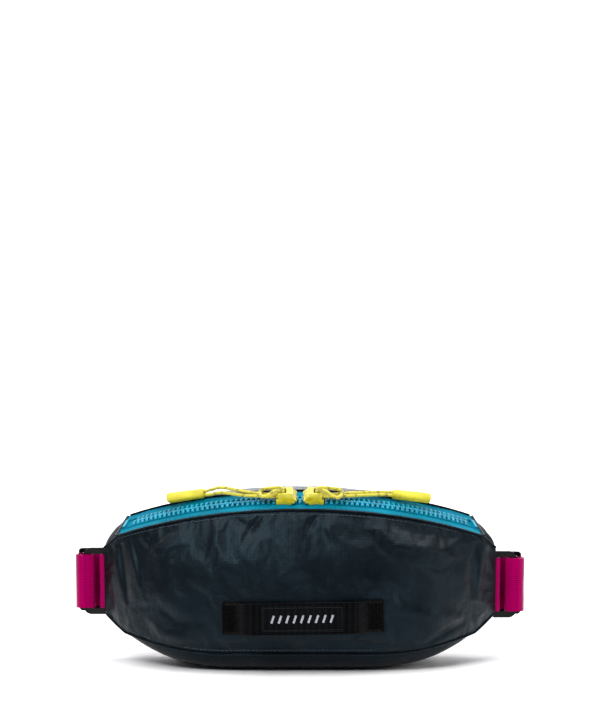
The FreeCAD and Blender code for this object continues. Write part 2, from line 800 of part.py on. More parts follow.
def make_pull_cord(label, side, pull_route):
    points = [pull_point(side, p) for p in pull_route]
    return feature(label, cord_tube(points, dim("pull_cord_diameter"), label))


def make_pull_grip(label, side, pull_route):
    """The moulded grip that holds both ends of the cord."""
    first, last = pull_point(side, pull_route[0]), pull_point(side, pull_route[-1])
    mouth = (first + last) / 2
    upper, lower = pull_point(side, pull_route[1]), pull_point(side, pull_route[-2])
    along = (mouth - (upper + lower) / 2).normalize()
    radius, length = dim("grip_radius"), dim("grip_length")
    bar = Part.makeCylinder(radius, length, mouth + along * 1.0, along)
    rims = [edge for edge in bar.Edges if isinstance(edge.Curve, Part.Circle)]
    return feature(label, bar.makeFillet(0.8, rims))


# ---------------------------------------------------------------- wings, rings and belt

def side_height(side):
    return dim("belt_height") - (dim("right_side_drop") if side > 0 else 0.0)


def anchor_bar(side):
    return Vector(side * dim("anchor_bar_x"), dim("anchor_bar_y"), side_height(side))


def belt_bar(side):
    return anchor_bar(side) + Vector(side * dim("bar_pitch"), 0, 0)


def belt_place(side):
    """The frame of a belt half: x along it towards the bag's centre (mirrored on the right)."""
    angle = -side * dim("belt_rest_angle")
    return Placement(belt_bar(side), Rotation(Vector(0, 0, 1), angle))


def make_anchor(label, side):
    """The webbing sewn into a wing and looped round the ring's inner bar."""
    x, y = dim("anchor_bar_x"), dim("anchor_bar_y")
    turn = 3.2
    pairs = [(118.0, 18.75), (x + turn, y - turn), (x + turn, y + turn), (x - 1.0, y + turn),
             (131.5, 20.75), (118.0, 20.45)]
    points = route(pairs, side)
    place = Placement(Vector(0, 0, side_height(side)), Rotation())
    return make_strap(label, points, [turn, turn, 1.6, 6.0], place)


def make_ring(label, side):
    """The loop between a wing and its belt, round at its outer corners."""
    pitch, size = dim("bar_pitch"), dim("bar_size")
    place = Placement(anchor_bar(side) + Vector(side * pitch / 2, 0, 0), Rotation())
    body = new_body(label, place)
    frame = rectangle(body, "frame_outline", "XZ_Plane", "dims.bar_pitch + dims.bar_size",
                      "dims.ring_window + 2 * dims.ring_rail")
    pad(body, frame, "frame", "dims.bar_size")
    window = rectangle(body, "window_outline", "XZ_Plane", "dims.bar_pitch - dims.bar_size",
                       "dims.ring_window")
    pocket(body, window, "window", "dims.bar_size + 2")

    def outer_corner(edge):
        middle = edge.CenterOfMass
        at_edge = side * middle.x > (pitch + size) / 2 - 0.1
        return runs_along(edge, Vector(0, 1, 0)) and at_edge

    def inner_corner(edge):
        middle = edge.CenterOfMass
        at_edge = side * middle.x < -(pitch + size) / 2 + 0.1
        return runs_along(edge, Vector(0, 1, 0)) and at_edge

    round_edges(body, "outer_corners", "dims.ring_corner", outer_corner)
    round_edges(body, "inner_corners", "dims.bar_size / 2", inner_corner)
    return body


def ply_offset(number):
    """How far behind the belt's pivot a ply of the folded hank lies."""
    front_of_glide = dim("glide_offset") - dim("glide_thickness") / 2 - 0.9
    return front_of_glide + number * dim("ply_pitch")


PLIES = 5
HANK_MIDDLE = ply_offset(PLIES - 1)


def belt_route():
    """A belt half from above: round the glide's bar, round the ring, back through the glide,
    folded into a hank and round the buckle's bar."""
    glide = dim("glide_offset")
    reach = dim("glide_thickness") / 2 + 0.9
    front, behind = glide - reach, glide + reach
    pairs = [(7.9, front), (12.0, front), (12.0, behind), (6.0, behind), (6.0, -3.4),
             (-5.6, -3.4), (-5.6, front), (0.9, front), (3.3, behind + 1.75),
             (13.9, behind + 1.75), (16.4, front)]
    radii = [1.0, 1.0, 1.0, 2.4, 4.6, 4.6, 1.2, 1.2, 1.2, 1.2]
    fold = dim("ply_pitch") / 2
    for number in range(PLIES - 1):
        end = dim("hank_inner") if number % 2 == 0 else dim("hank_outer")
        pairs += [(end, ply_offset(number)), (end, ply_offset(number + 1))]
        radii += [fold - 0.01, fold - 0.01]
    bar, turn = dim("buckle_bar"), 2.9
    pairs += [(95.0, HANK_MIDDLE), (bar - 3.4, HANK_MIDDLE - turn), (bar + turn, HANK_MIDDLE - turn),
              (bar + turn, HANK_MIDDLE + turn), (bar - 3.0, HANK_MIDDLE + turn),
              (bar - 9.0, HANK_MIDDLE + 1.6), (bar - 12.0, HANK_MIDDLE + 1.6)]
    radii += [3.0, 2.0, turn - 0.05, turn - 0.05, 2.0, 3.0]
    return pairs, radii


def make_belt(label, side):
    pairs, radii = belt_route()
    points = route(pairs, -side)
    print(f"{label}: {strap_length(points, radii):.0f} mm of webbing")
    return make_strap(label, points, radii, belt_place(side))


def make_triglide(label, side):
    """The flat adjuster on the belt beside the ring."""
    middle = dim("glide_start") + dim("glide_length") / 2
    place = belt_place(side).multiply(
        Placement(Vector(-side * middle, dim("glide_offset"), 0), Rotation()))
    body = new_body(label, place)
    frame = rectangle(body, "glide_outline", "XZ_Plane", "dims.glide_length", "dims.glide_height")
    pad(body, frame, "glide", "dims.glide_thickness")
    reach = (dim("glide_slot") + dim("bar_size")) / 2
    for name, x in (("ring_slot", -reach), ("belt_slot", reach)):
        slot = rectangle(body, f"{name}_outline", "XZ_Plane", "dims.glide_slot",
                         "dims.ring_window", 0.0, (x, 0.0))
        pocket(body, slot, name, "dims.glide_thickness + 2")

    def corner(edge):
        middle = edge.CenterOfMass
        far = abs(middle.x) > dim("glide_length") / 2 - 0.1
        return runs_along(edge, Vector(0, 1, 0)) and far

    round_edges(body, "glide_corners", "2.5", corner)
    return body


def make_keeper(label, side):
    """The elastic sleeve round the folded hank."""
    stack = (ply_offset(0) + HANK_MIDDLE) / 2
    middle = dim("keeper_start") + dim("keeper_length") / 2
    place = belt_place(side).multiply(Placement(Vector(-side * middle, stack, 0), Rotation()))
    body = new_body(label, place)
    inner = f"{PLIES - 1} * dims.ply_pitch + dims.webbing_thickness + 0.8"
    sleeve = rectangle(body, "sleeve_outline", "YZ_Plane", f"{inner} + 2 * dims.keeper_wall",
                       "dims.webbing_width + 0.8 + 2 * dims.keeper_wall")
    pad(body, sleeve, "sleeve", "dims.keeper_length")
    hole = rectangle(body, "hole_outline", "YZ_Plane", inner, "dims.webbing_width + 0.8")
    pocket(body, hole, "hole", "dims.keeper_length + 2")
    return body


# ---------------------------------------------------------------- buckle

def buckle_place(side):
    return belt_place(side).multiply(
        Placement(Vector(-side * dim("buckle_bar"), HANK_MIDDLE, 0), Rotation()))


def make_socket(side):
    """The buckle's socket, on the left belt: a flat box open towards the plug."""
    size = dim("bar_size")
    length, wall = dim("socket_length"), dim("socket_wall")
    body = new_body("buckle_socket", buckle_place(side))
    middle = -side * (length / 2 - size / 2)
    shell = rectangle(body, "shell_outline", "XZ_Plane", "dims.socket_length",
                      "dims.socket_width", 0.0, (middle, 0.0))
    pad(body, shell, "shell", "dims.buckle_thickness")
    slot_middle = -side * (size / 2 + 2.75)
    slot = rectangle(body, "slot_outline", "XZ_Plane", "5.5", "dims.ring_window", 0.0,
                     (slot_middle, 0.0))
    pocket(body, slot, "webbing_slot", "dims.buckle_thickness + 2")
    for name, turn in (("front_step", -1), ("back_step", 1)):
        step = rectangle(body, f"{name}_outline", "XZ_Plane", "dims.bar_size + 2",
                         "dims.ring_window", 0.0, (side * 1.0, 0.0))
        step.AttachmentOffset = Placement(
            Vector(side * 1.0, 0, -turn * dim("buckle_thickness") / 2), Rotation())
        pocket(body, step, name, "dims.buckle_thickness - dims.bar_size")
    mouth_middle = -side * (length - size / 2 - dim("socket_depth") / 2 + 1)
    mouth = rectangle(body, "mouth_outline", "XZ_Plane", "dims.socket_depth + 2",
                      "dims.socket_width - 2 * dims.socket_wall", 0.0, (mouth_middle, 0.0))
    pocket(body, mouth, "mouth", "dims.buckle_thickness - 2 * dims.socket_wall")
    window_x = -side * (length - size / 2 - dim("socket_depth") + 6.5)
    window = rectangle(body, "window_outline", "XY_Plane", "10",
                       "dims.buckle_thickness - 2 * dims.socket_wall - 1", 0.0, (window_x, 0.0))
    pocket(body, window, "side_windows", "dims.socket_width + 4")

    def mouth_corner(edge):
        middle = edge.CenterOfMass
        far = abs(middle.x) > length - size / 2 - 0.1
        outer = abs(middle.z) > dim("socket_width") / 2 - 1
        return runs_along(edge, Vector(0, 1, 0)) and far and outer

    round_edges(body, "mouth_corners", "1.5", mouth_corner)
    return body


def make_plug(side):
    """The buckle's plug, on the right belt: a base with the webbing's bar and a guide tongue."""
    size, length = dim("bar_size"), dim("plug_base_length")
    body = new_body("buckle_plug", buckle_place(side))
    middle = -side * (length / 2 - size / 2)
    base = rectangle(body, "base_outline", "XZ_Plane", "dims.plug_base_length",
                     "dims.socket_width", 0.0, (middle, 0.0))
    pad(body, base, "base", "dims.buckle_thickness - 3")
    slot = rectangle(body, "slot_outline", "XZ_Plane", "5.5", "dims.ring_window", 0.0,
                     (-side * (size / 2 + 2.75), 0.0))
    pocket(body, slot, "webbing_slot", "dims.buckle_thickness + 2")
    for name, turn in (("front_step", -1), ("back_step", 1)):
        step = rectangle(body, f"{name}_outline", "XZ_Plane", "dims.bar_size + 2",
                         "dims.ring_window")
        step.AttachmentOffset = Placement(
            Vector(side * 1.0, 0, -turn * dim("buckle_thickness") / 2), Rotation())
        pocket(body, step, name, "dims.buckle_thickness - dims.bar_size")
    tongue_middle = -side * (length - size / 2 + dim("tongue_length") / 2 - 0.5)
    tongue = rectangle(body, "tongue_outline", "XZ_Plane", "dims.tongue_length + 1",
                       "dims.tongue_width", 0.0, (tongue_middle, 0.0))
    pad(body, tongue, "tongue", "dims.tongue_thickness")
    return body


def prong_root(side, up):
    """The point that a prong bends about."""
    along = dim("plug_base_length") - dim("bar_size") / 2 + dim("prong_gap")
    height = up * (dim("prong_outer") - dim("prong_width") / 2)
    return buckle_place(side).multVec(Vector(-side * along, 0, height))


def make_prong(label, side, up):
    """A springy arm of the plug with a barb that catches in the socket's side window."""
    length, width, outer = dim("prong_length"), dim("prong_width"), dim("prong_outer")
    start = dim("plug_base_length") - dim("bar_size") / 2 + dim("prong_gap")
    inner = outer - width
    barb = outer + 2.6
    shape = [(start, inner), (start + length - 5, inner + 1.5), (start + length, inner + 3.5),
             (start + length - 1, outer), (start + length - 8, barb),
             (start + length - 11, barb), (start + length - 12.5, outer - 1.0), (start, outer)]
    body = new_body(label, buckle_place(side))
    points = [(-side * x, up * y) for x, y in shape]
    sketch = outline(body, f"{label}_outline", "XZ_Plane", points)
    pad(body, sketch, f"{label}_arm", "dims.prong_thickness")
    return body


# ---------------------------------------------------------------- assembly

def build():
    outer = dim("tooth_outer")
    parts = [
        make_front_panel(),
        make_bottom_gusset(),
        make_back_panel(),
        make_back_foam(),
        make_top_gusset(),
        make_lining(),
        make_inner_pocket(),
        make_tape("zip_tape_front", -dim("front_tape_width"), -outer - 0.1),
        make_tape("zip_tape_back", outer + 0.1, dim("back_tape_width")),
        make_teeth("zip_teeth_front", -1, 0.0),
        make_teeth("zip_teeth_back", 1, 0.5),
        make_light_loop(),
        make_label_patch(),
    ]
    for side, name, pull_route in ((-1, "left", LEFT_PULL_ROUTE), (1, "right", RIGHT_PULL_ROUTE)):
        parts += [
            make_shoulder(side, f"shoulder_{name}"),
            make_zip_stop(f"zip_stop_{name}", side),
            make_slider(f"slider_{name}", side),
            make_pull_cord(f"pull_cord_{name}", side, pull_route),
            make_pull_grip(f"pull_grip_{name}", side, pull_route),
            make_anchor(f"anchor_webbing_{name}", side),
            make_ring(f"ring_{name}", side),
            make_belt(f"belt_webbing_{name}", side),
            make_triglide(f"triglide_{name}", side),
            make_keeper(f"keeper_{name}", side),
        ]
    parts += [make_socket(-1), make_plug(1)]
    parts += [make_prong(f"prong_{name}", 1, up) for name, up in (("upper", 1), ("lower", -1))]
    doc.recompute()
    return parts


def check(parts):
    """Stop if any object failed to compute or any sub-part isn't a sound shape."""
    for item in doc.Objects:
        if any(word in item.State for word in ("Invalid", "Error")):
            raise RuntimeError(f"{item.Label} failed: {item.State}")
    for part in parts:
        if part.Shape.isNull() or not part.Shape.isValid():
            raise RuntimeError(f"{part.Label} has a bad shape")
        print(f"{part.Label}: {len(part.Shape.Solids)} solids, {part.Shape.Volume:.0f} mm3")


def export(parts):
    os.makedirs("parts", exist_ok=True)
    for part in parts:
        part.Shape.exportStep(f"parts/{part.Label}.step")


PARTS = build()
check(PARTS)
export(PARTS)
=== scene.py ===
import json
import math

import bmesh
import bpy
from mathutils import Matrix, Vector, noise


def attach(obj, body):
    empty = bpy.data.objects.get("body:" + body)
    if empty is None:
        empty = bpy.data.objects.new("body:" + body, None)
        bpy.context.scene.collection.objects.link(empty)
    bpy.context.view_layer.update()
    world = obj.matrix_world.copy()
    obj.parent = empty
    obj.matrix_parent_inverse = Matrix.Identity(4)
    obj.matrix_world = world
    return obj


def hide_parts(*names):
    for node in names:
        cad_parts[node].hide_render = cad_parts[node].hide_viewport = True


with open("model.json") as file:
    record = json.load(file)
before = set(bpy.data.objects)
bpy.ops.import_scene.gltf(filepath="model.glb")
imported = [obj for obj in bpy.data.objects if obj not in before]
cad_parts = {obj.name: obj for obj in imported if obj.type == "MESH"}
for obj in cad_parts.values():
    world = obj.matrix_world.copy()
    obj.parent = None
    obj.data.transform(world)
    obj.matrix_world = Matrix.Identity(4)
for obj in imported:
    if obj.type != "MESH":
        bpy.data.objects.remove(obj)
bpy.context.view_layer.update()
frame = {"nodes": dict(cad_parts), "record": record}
JOINTS = {joint["name"]: joint for joint in frame["record"]["behaviour"]["joints"]}

# Lengths are in millimetres until a mesh is made. +X is right, -Y is the front, +Z is up.
MM = 0.001
HALF_LENGTH = 139.0
CHAIN_RADIUS = 220.0
CHAIN_HALF_ANGLE = math.radians(34.5)
TAPE_TILT = math.radians(27.0)
CHAIN_DROP = math.radians(32.5)
ZIP_CENTRE = Vector((0.0, -16.0, 116.6))
ACROSS = Vector((0.0, math.cos(TAPE_TILT), math.sin(TAPE_TILT)))
INTO_ARC = Vector((0.0, math.cos(CHAIN_DROP), -math.sin(CHAIN_DROP)))
ZIP_AXIS = Vector((0.0, math.sin(CHAIN_DROP), math.cos(CHAIN_DROP)))
ARC_CENTRE = ZIP_CENTRE + INTO_ARC * CHAIN_RADIUS
FRONT_TAPE, BACK_TAPE = 11.5, 12.0
TOOTH_PITCH = 3.57

LEFT_PULL_ROUTE = [
    (53.5, 17.0, -7.9), (48.5, 16.7, -6.5), (43.0, 14.9, -3.5), (36.0, 11.0, -2.3),
    (28.0, 6.3, -1.8), (20.0, 3.8, -2.0), (13.0, 2.6, -2.7), (8.0, 1.6, -2.9),
    (3.4, 1.4, -2.5), (-2.4, 1.3, -2.4), (-2.4, 1.5, 2.4), (3.4, 1.7, 2.7),
    (7.4, 2.9, 1.5), (11.2, 3.8, 0.7), (13.8, 1.5, 0.3), (13.6, -2.2, 0.1),
    (11.0, -5.2, -0.5), (7.2, -4.4, 0.4), (3.4, -1.7, 2.7), (-2.4, -1.5, 2.4),
    (-2.4, -1.3, -2.4), (3.4, -1.4, -2.5), (8.0, -1.2, -2.9), (13.0, 0.1, -2.7),
    (20.0, 1.4, -3.4), (28.0, 4.1, -3.9), (36.0, 8.8, -5.0), (43.0, 12.7, -6.5),
    (48.5, 14.5, -9.1), (53.5, 15.0, -9.4),
]
RIGHT_PULL_ROUTE = [
    (51.0, 15.2, -7.9), (46.0, 15.2, -7.4), (41.0, 12.6, -6.2), (34.0, 10.0, -5.1),
    (26.0, 7.0, -3.9), (18.5, 4.4, -3.0), (12.0, 2.5, -2.8), (8.0, 1.6, -2.9),
    (3.4, 1.4, -2.5), (-2.4, 1.3, -2.4), (-2.4, 1.5, 2.4), (3.4, 1.7, 2.7),
    (7.6, 2.9, 1.5), (12.0, 3.9, 0.7), (15.4, 1.8, 0.3), (15.2, -2.2, 0.0),
    (12.0, -5.8, -0.9), (7.8, -5.0, 0.1), (3.4, -1.7, 2.7), (-2.4, -1.5, 2.4),
    (-2.4, -1.3, -2.4), (3.4, -1.4, -2.5), (8.0, -1.0, -2.9), (12.0, 0.0, -2.8),
    (18.5, 2.0, -3.8), (26.0, 4.6, -4.7), (34.0, 7.6, -5.9), (41.0, 10.2, -7.0),
    (46.0, 12.8, -8.2), (51.0, 12.8, -8.6),
]
SHELL_THICK, TOP_THICK, PAD_THICK, THIN_CLOTH = 1.1, 1.0, 4.6, 0.5
SIDES = ((-1, "left"), (1, "right"))
FORWARD = Vector((0.0, -1.0, 0.0))
ON_TAPE = Vector((0.0, -0.25, 0.97))


# ------------ camera, floor and light

def new_object(name, data):
    thing = bpy.data.objects.new(name, data)
    bpy.context.collection.objects.link(thing)
    return thing


def look_from(place, target):
    return (Vector(target) - Vector(place)).to_track_quat("-Z", "Y").to_euler()


def add_camera():
    """The photograph's view: long lens, seven degrees above the bag, the bag low in the frame."""
    data = bpy.data.cameras.new("camera")
    data.lens, data.sensor_width = 100.0, 36.0
    data.shift_y = 0.292
    camera = new_object("camera", data)
    target = Vector((0.0, 0.0, 0.0620))
    rise = math.radians(7.0)
    camera.location = target + Vector((0.0, -math.cos(rise), math.sin(rise))) * 1.416
    camera.rotation_euler = look_from(camera.location, target)
    bpy.context.scene.camera = camera


def add_area_light(name, place, target, size, power):
    data = bpy.data.lights.new(name, "AREA")
    data.shape, data.size, data.size_y = "RECTANGLE", size[0], size[1]
    data.energy = power
    light = new_object(name, data)
    light.location = place
    light.rotation_euler = look_from(place, target)


def add_studio():
    """A pale floor that runs up behind the bag, and large soft lights."""
    mesh = bpy.data.meshes.new("studio_floor")
    profile = [(-3.0, 0.0), (1.2, 0.0), (1.5, 0.03), (1.75, 0.15), (1.9, 0.4), (1.95, 3.0)]
    vertices = [(x, y, z) for y, z in profile for x in (-4.0, 4.0)]
    faces = [(2 * i, 2 * i + 1, 2 * i + 3, 2 * i + 2) for i in range(len(profile) - 1)]
    mesh.from_pydata(vertices, [], faces)
    mesh.shade_smooth()
    white = Nodes("studio_white", 0.9)
    white.shader.inputs["Base Color"].default_value = (0.90, 0.90, 0.91, 1.0)
    mesh.materials.append(white.material)
    new_object("studio_floor", mesh)
    world = bpy.data.worlds.new("studio")
    world.use_nodes = True
    background = world.node_tree.nodes["Background"]
    background.inputs["Color"].default_value = (1.0, 1.0, 1.0, 1.0)
    background.inputs["Strength"].default_value = 0.12
    bpy.context.scene.world = world
    bpy.context.scene.view_settings.view_transform = "Standard"
    centre = (0.0, 0.0, 0.06)
    add_area_light("key", (-0.55, -0.9, 1.1), centre, (0.7, 0.6), 14.0)
    add_area_light("overhead", (0.0, 0.2, 1.9), (0.0, 0.2, 0.0), (2.6, 2.2), 58.0)
    add_area_light("side", (1.2, -0.45, 0.5), centre, (0.5, 0.8), 5.0)
    add_area_light("backdrop", (0.0, 0.7, 1.5), (0.0, 1.95, 0.8), (3.2, 0.6), 46.0)


# ------------ materials

def srgb(red, green, blue):
    """A linear colour from 0 to 255 sRGB values."""
    def linear(value):
        value /= 255
        return value / 12.92 if value <= 0.04045 else ((value + 0.055) / 1.055) ** 2.4
    return (linear(red), linear(green), linear(blue), 1.0)


class Nodes:
    """Short calls that build one material's node tree."""

    def __init__(self, name, roughness=0.6, **sockets):
        self.material = bpy.data.materials.new(name)
        self.material.use_nodes = True
        self.tree = self.material.node_tree
        self.shader = self.tree.nodes["Principled BSDF"]
        self.shader.inputs["Roughness"].default_value = roughness
        for socket, value in sockets.items():
            self.shader.inputs[socket.replace("_", " ").title()].default_value = value
        self.place = self.add("ShaderNodeTexCoord").outputs["Object"]
        self.height = None

    def add(self, kind, **settings):
        node = self.tree.nodes.new(kind)
        for key, value in settings.items():
            setattr(node, key, value)
        return node

    def join(self, source, target):
        self.tree.links.new(source, target)

    def texture(self, kind, scale, vector):
        """A node that reads a place: the piece's own, unless another is given."""
        node = self.add(kind)
        node.inputs["Scale"].default_value = scale
        self.join(vector or self.place, node.inputs["Vector"])
        return node

    def scaled(self, scale, vector=None):
        return self.texture("ShaderNodeMapping", scale, vector).outputs["Vector"]

    def noise(self, scale, detail, vector=None):
        node = self.texture("ShaderNodeTexNoise", scale, vector)
        node.inputs["Detail"].default_value = detail
        return node.outputs["Fac"]

    def wave(self, scale, direction, vector=None):
        node = self.texture("ShaderNodeTexWave", scale, vector)
        node.bands_direction = direction
        return node.outputs["Fac"]

    def cells(self, scale):
        return self.texture("ShaderNodeTexVoronoi", scale, None).outputs["Distance"]

    def math(self, operation, first, second):
        node = self.add("ShaderNodeMath", operation=operation)
        for socket, value in zip(node.inputs, (first, second)):
            if isinstance(value, (int, float)):
                socket.default_value = value
            else:
                self.join(value, socket)
        return node.outputs["Value"]

    def blend(self, first, share, second):
        """The first value's share of a mix, and the second for the rest."""
        return self.math("ADD", self.math("MULTIPLY", first, share),
                         self.math("MULTIPLY", second, 1 - share))

    def ramp(self, factor, stops):
        """A colour for each value: stops pair a value with an sRGB colour."""
        node = self.add("ShaderNodeValToRGB")
        ramp = node.color_ramp
        for position, _ in stops[1:-1]:
            ramp.elements.new(position)
        for element, (position, colour) in zip(ramp.elements, stops):
            element.position, element.color = position, srgb(*colour)
        self.join(factor, node.inputs["Fac"])
        return node.outputs["Color"]

    def colour(self, factor, stops):
        self.join(self.ramp(factor, stops), self.shader.inputs["Base Color"])

    def roughness(self, factor, low, high):
        node = self.add("ShaderNodeMapRange")
        node.inputs["To Min"].default_value = low
        node.inputs["To Max"].default_value = high
        self.join(factor, node.inputs["Value"])
        self.join(node.outputs["Result"], self.shader.inputs["Roughness"])

    def shine(self, level, tint=(255, 255, 255)):
        """How strongly the surface mirrors the light, and in what colour."""
        self.shader.inputs["Specular IOR Level"].default_value = level
        self.shader.inputs["Specular Tint"].default_value = srgb(*tint)

    def bump(self, height, distance, strength=1.0):
        """A bump of that height in millimetres, laid over the ones before it."""
        node = self.add("ShaderNodeBump")
        node.inputs["Strength"].default_value = strength
        node.inputs["Distance"].default_value = distance * MM
        self.join(height, node.inputs["Height"])
        if self.height is not None:
            self.join(self.height, node.inputs["Normal"])
        self.height = node.outputs["Normal"]
        self.join(self.height, self.shader.inputs["Normal"])


def shell_fabric(name, dark, light, sheen):
    """A close plain weave with a satin face, mottled where the cloth has been handled."""
    cloth = Nodes(name, 0.42, sheen_weight=sheen, sheen_roughness=0.3)
    cloth.shader.inputs["Sheen Tint"].default_value = srgb(120, 165, 195)
    cloth.shine(0.23, (142, 182, 202))
    weave = cloth.math("MULTIPLY", cloth.wave(330.0, "X"), cloth.wave(330.0, "Z"))
    mottle = cloth.noise(26.0, 5.0)
    mixed = cloth.blend(mottle, 0.75, cloth.noise(900.0, 2.0))
    cloth.colour(mixed, [(0.36, dark), (0.64, light)])
    cloth.roughness(mottle, 0.22, 0.44)
    cloth.bump(weave, 0.08)
    cloth.bump(cloth.noise(48.0, 5.0), 2.4, 0.7)
    cloth.bump(cloth.noise(160.0, 4.0), 0.35, 0.6)
    return cloth.material


def mesh_fabric(name):
    """Spacer mesh: rounded holes in a knitted face, with painted shade inside the holes."""
    cloth = Nodes(name, 0.8, sheen_weight=0.08)
    holes = cloth.cells(420.0)
    # darkest at the hole centres: painted shade inside the holes
    cloth.colour(holes, [(0.05, (12, 14, 17)), (0.45, (62, 68, 78)),
                         (0.8, (82, 88, 98))])
    cloth.bump(holes, 0.5)
    return cloth.material


def webbing_fabric(name, dark, middle, light, roughness=0.5, relief=0.30):
    """Ribbed webbing: ribs along it, picks across it, over cloth that varies a little."""
    cloth = Nodes(name, roughness, sheen_weight=0.02, sheen_roughness=0.4)
    cloth.shine(0.22, light)
    ribs = cloth.wave(215.0, "Z")
    picks = cloth.wave(150.0, "DIAGONAL", cloth.scaled((1.0, 1.0, 0.0)))
    weave = cloth.math("MULTIPLY", ribs, cloth.math("ADD", cloth.math("MULTIPLY", picks, 0.6), 0.4))
    shade = cloth.blend(weave, 0.6, cloth.noise(60.0, 4.0))
    cloth.colour(shade, [(0.12, dark), (0.4, middle), (0.8, light)])
    cloth.bump(weave, relief)
    cloth.bump(cloth.noise(1500.0, 2.0), 0.05)
    return cloth.material


def tape_fabric(name):
    """Woven zip tape: fine ribs that follow the zip's curve."""
    cloth = Nodes(name, 0.6)
    cloth.shine(0.14, (0, 150, 180))
    place = cloth.add("ShaderNodeUVMap", uv_map="UVMap").outputs["UV"]
    weave = cloth.math("MULTIPLY", cloth.wave(310.0, "Y", place), cloth.wave(260.0, "X", place))
    shade = cloth.blend(weave, 0.35, cloth.noise(38.0, 4.0))
    cloth.colour(shade, [(0.2, (0, 88, 108)), (0.45, (0, 120, 146)),
                         (0.7, (0, 142, 170))])
    cloth.bump(weave, 0.16)
    return cloth.material


def moulded_plastic(name, dark, light, roughness=0.38, grain=0.06, shine=0.5):
    """Moulded plastic with a fine spark-eroded grain and gloss that varies a little."""
    part = Nodes(name, roughness)
    part.shine(shine)
    part.colour(part.noise(90.0, 4.0), [(0.35, dark), (0.65, light)])
    part.roughness(part.noise(240.0, 3.0), roughness - 0.08, roughness + 0.12)
    part.bump(part.noise(2600.0, 2.0), grain)
    return part.material


def enamel(name):
    """Baked yellow enamel over die-cast zinc, slightly uneven."""
    paint = Nodes(name, 0.34, coat_weight=0.35, coat_roughness=0.2)
    paint.colour(paint.noise(220.0, 3.0), [(0.3, (182, 170, 14)), (0.7, (220, 206, 44))])
    paint.bump(paint.noise(700.0, 3.0), 0.05)
    return paint.material


def braided_cord(name):
    """Braided sheath with crossing strands and dark tracer flecks."""
    sheath = Nodes(name, 0.6, sheen_weight=0.4)
    place = sheath.add("ShaderNodeUVMap", uv_map="UVMap").outputs["UV"]
    right = sheath.wave(3.77, "DIAGONAL", sheath.scaled((1.0, 1.0, 0.0), place))
    left = sheath.wave(3.77, "DIAGONAL", sheath.scaled((1.0, -1.0, 0.0), place))
    braid = sheath.math("MAXIMUM", right, left)
    fleck = sheath.math("GREATER_THAN", sheath.noise(1.9, 0.0, place), 0.60)
    crossing = sheath.math("MULTIPLY", fleck, sheath.math("GREATER_THAN", right, 0.6))
    base = sheath.ramp(braid, [(0.2, (168, 156, 8)), (0.8, (224, 212, 50))])
    mix = sheath.add("ShaderNodeMix", data_type="RGBA")
    factor, yellow, tracer = mix.inputs[0], mix.inputs[6], mix.inputs[7]
    sheath.join(crossing, factor)
    sheath.join(base, yellow)
    tracer.default_value = srgb(58, 52, 38)
    sheath.join(mix.outputs[2], sheath.shader.inputs["Base Color"])
    sheath.bump(braid, 0.18)
    return sheath.material


def thread(name, dark, light):
    """Twisted sewing thread."""
    strand = Nodes(name, 0.6, sheen_weight=0.03)
    strand.shine(0.15)
    twist = strand.wave(900.0, "DIAGONAL")
    strand.colour(twist, [(0.2, dark), (0.8, light)])
    strand.bump(twist, 0.08)
    return strand.material


def make_materials():
    return {
        "shell": shell_fabric("shell_cloth", (7, 10, 14), (14, 20, 25), 0.02),
        # a darker copy of the shell cloth, for the bottom, shoulders and seam folds: painted shade
        "gusset": shell_fabric("gusset_cloth", (5, 7, 10), (10, 13, 18), 0.01),
        # a lighter copy of the shell cloth: painted sheen of the top panel seen at a grazing angle
        "top": shell_fabric("top_cloth", (20, 23, 29), (31, 35, 43), 0.02),
        "lining": shell_fabric("lining_cloth", (96, 101, 108), (132, 138, 146), 0.2),
        "mesh": mesh_fabric("spacer_mesh"),
        "binding": webbing_fabric("binding_tape", (6, 7, 9), (14, 15, 18),
                                  (30, 32, 36)),
        "black_webbing": webbing_fabric("loop_webbing", (2, 2, 3), (8, 8, 9),
                                        (19, 20, 22)),
        "belt": webbing_fabric("belt_webbing", (124, 0, 65), (150, 0, 78),
                               (168, 2, 90), roughness=0.40, relief=0.09),
        "elastic": webbing_fabric("elastic", (8, 8, 10), (20, 20, 23), (40, 40, 44)),
        "tape": tape_fabric("zip_tape_cloth"),
        "teeth": moulded_plastic("acetal_blue", (0, 116, 142), (0, 142, 172), 0.34,
                                 0.02, 0.25),
        "hardware": moulded_plastic("acetal_black", (3, 3, 4), (9, 9, 10), 0.32, shine=0.2),
        "slider": enamel("slider_enamel"),
        "cord": braided_cord("pull_cord_sheath"),
        "grip": moulded_plastic("grip_rubber", (190, 178, 20), (220, 208, 48), 0.5, 0.12),
        "thread": thread("navy_thread", (30, 38, 48), (76, 90, 106)),
        "blue_thread": thread("blue_thread", (0, 86, 112), (0, 138, 172)),
        "label": webbing_fabric("label_cloth", (4, 5, 6), (11, 12, 14),
                                (20, 22, 24)),
        "label_thread": thread("label_thread", (132, 134, 146), (186, 188, 200)),
        "black_thread": thread("black_thread", (7, 7, 8), (32, 32, 35)),
    }


# ------------ surfaces of the bag

def taper(x, power):
    return (abs(x) / HALF_LENGTH) ** power


def front_y(x):
    return -46.0 + 62.5 * taper(x, 3)


def back_y(x):
    return 38.0 - 12.0 * taper(x, 2)


def low_z(x):
    past = max(0.0, abs(x) - 50.0) / (HALF_LENGTH - 50.0)
    return 34.5 * past ** 2.2


def front_seam(x):
    share = max(0.08, 1 - (abs(x) / 125.0) ** 4)
    return Vector((x, front_y(x) + 8 * (1 - 0.97 * taper(x, 2)), low_z(x) + 13.5 * share))


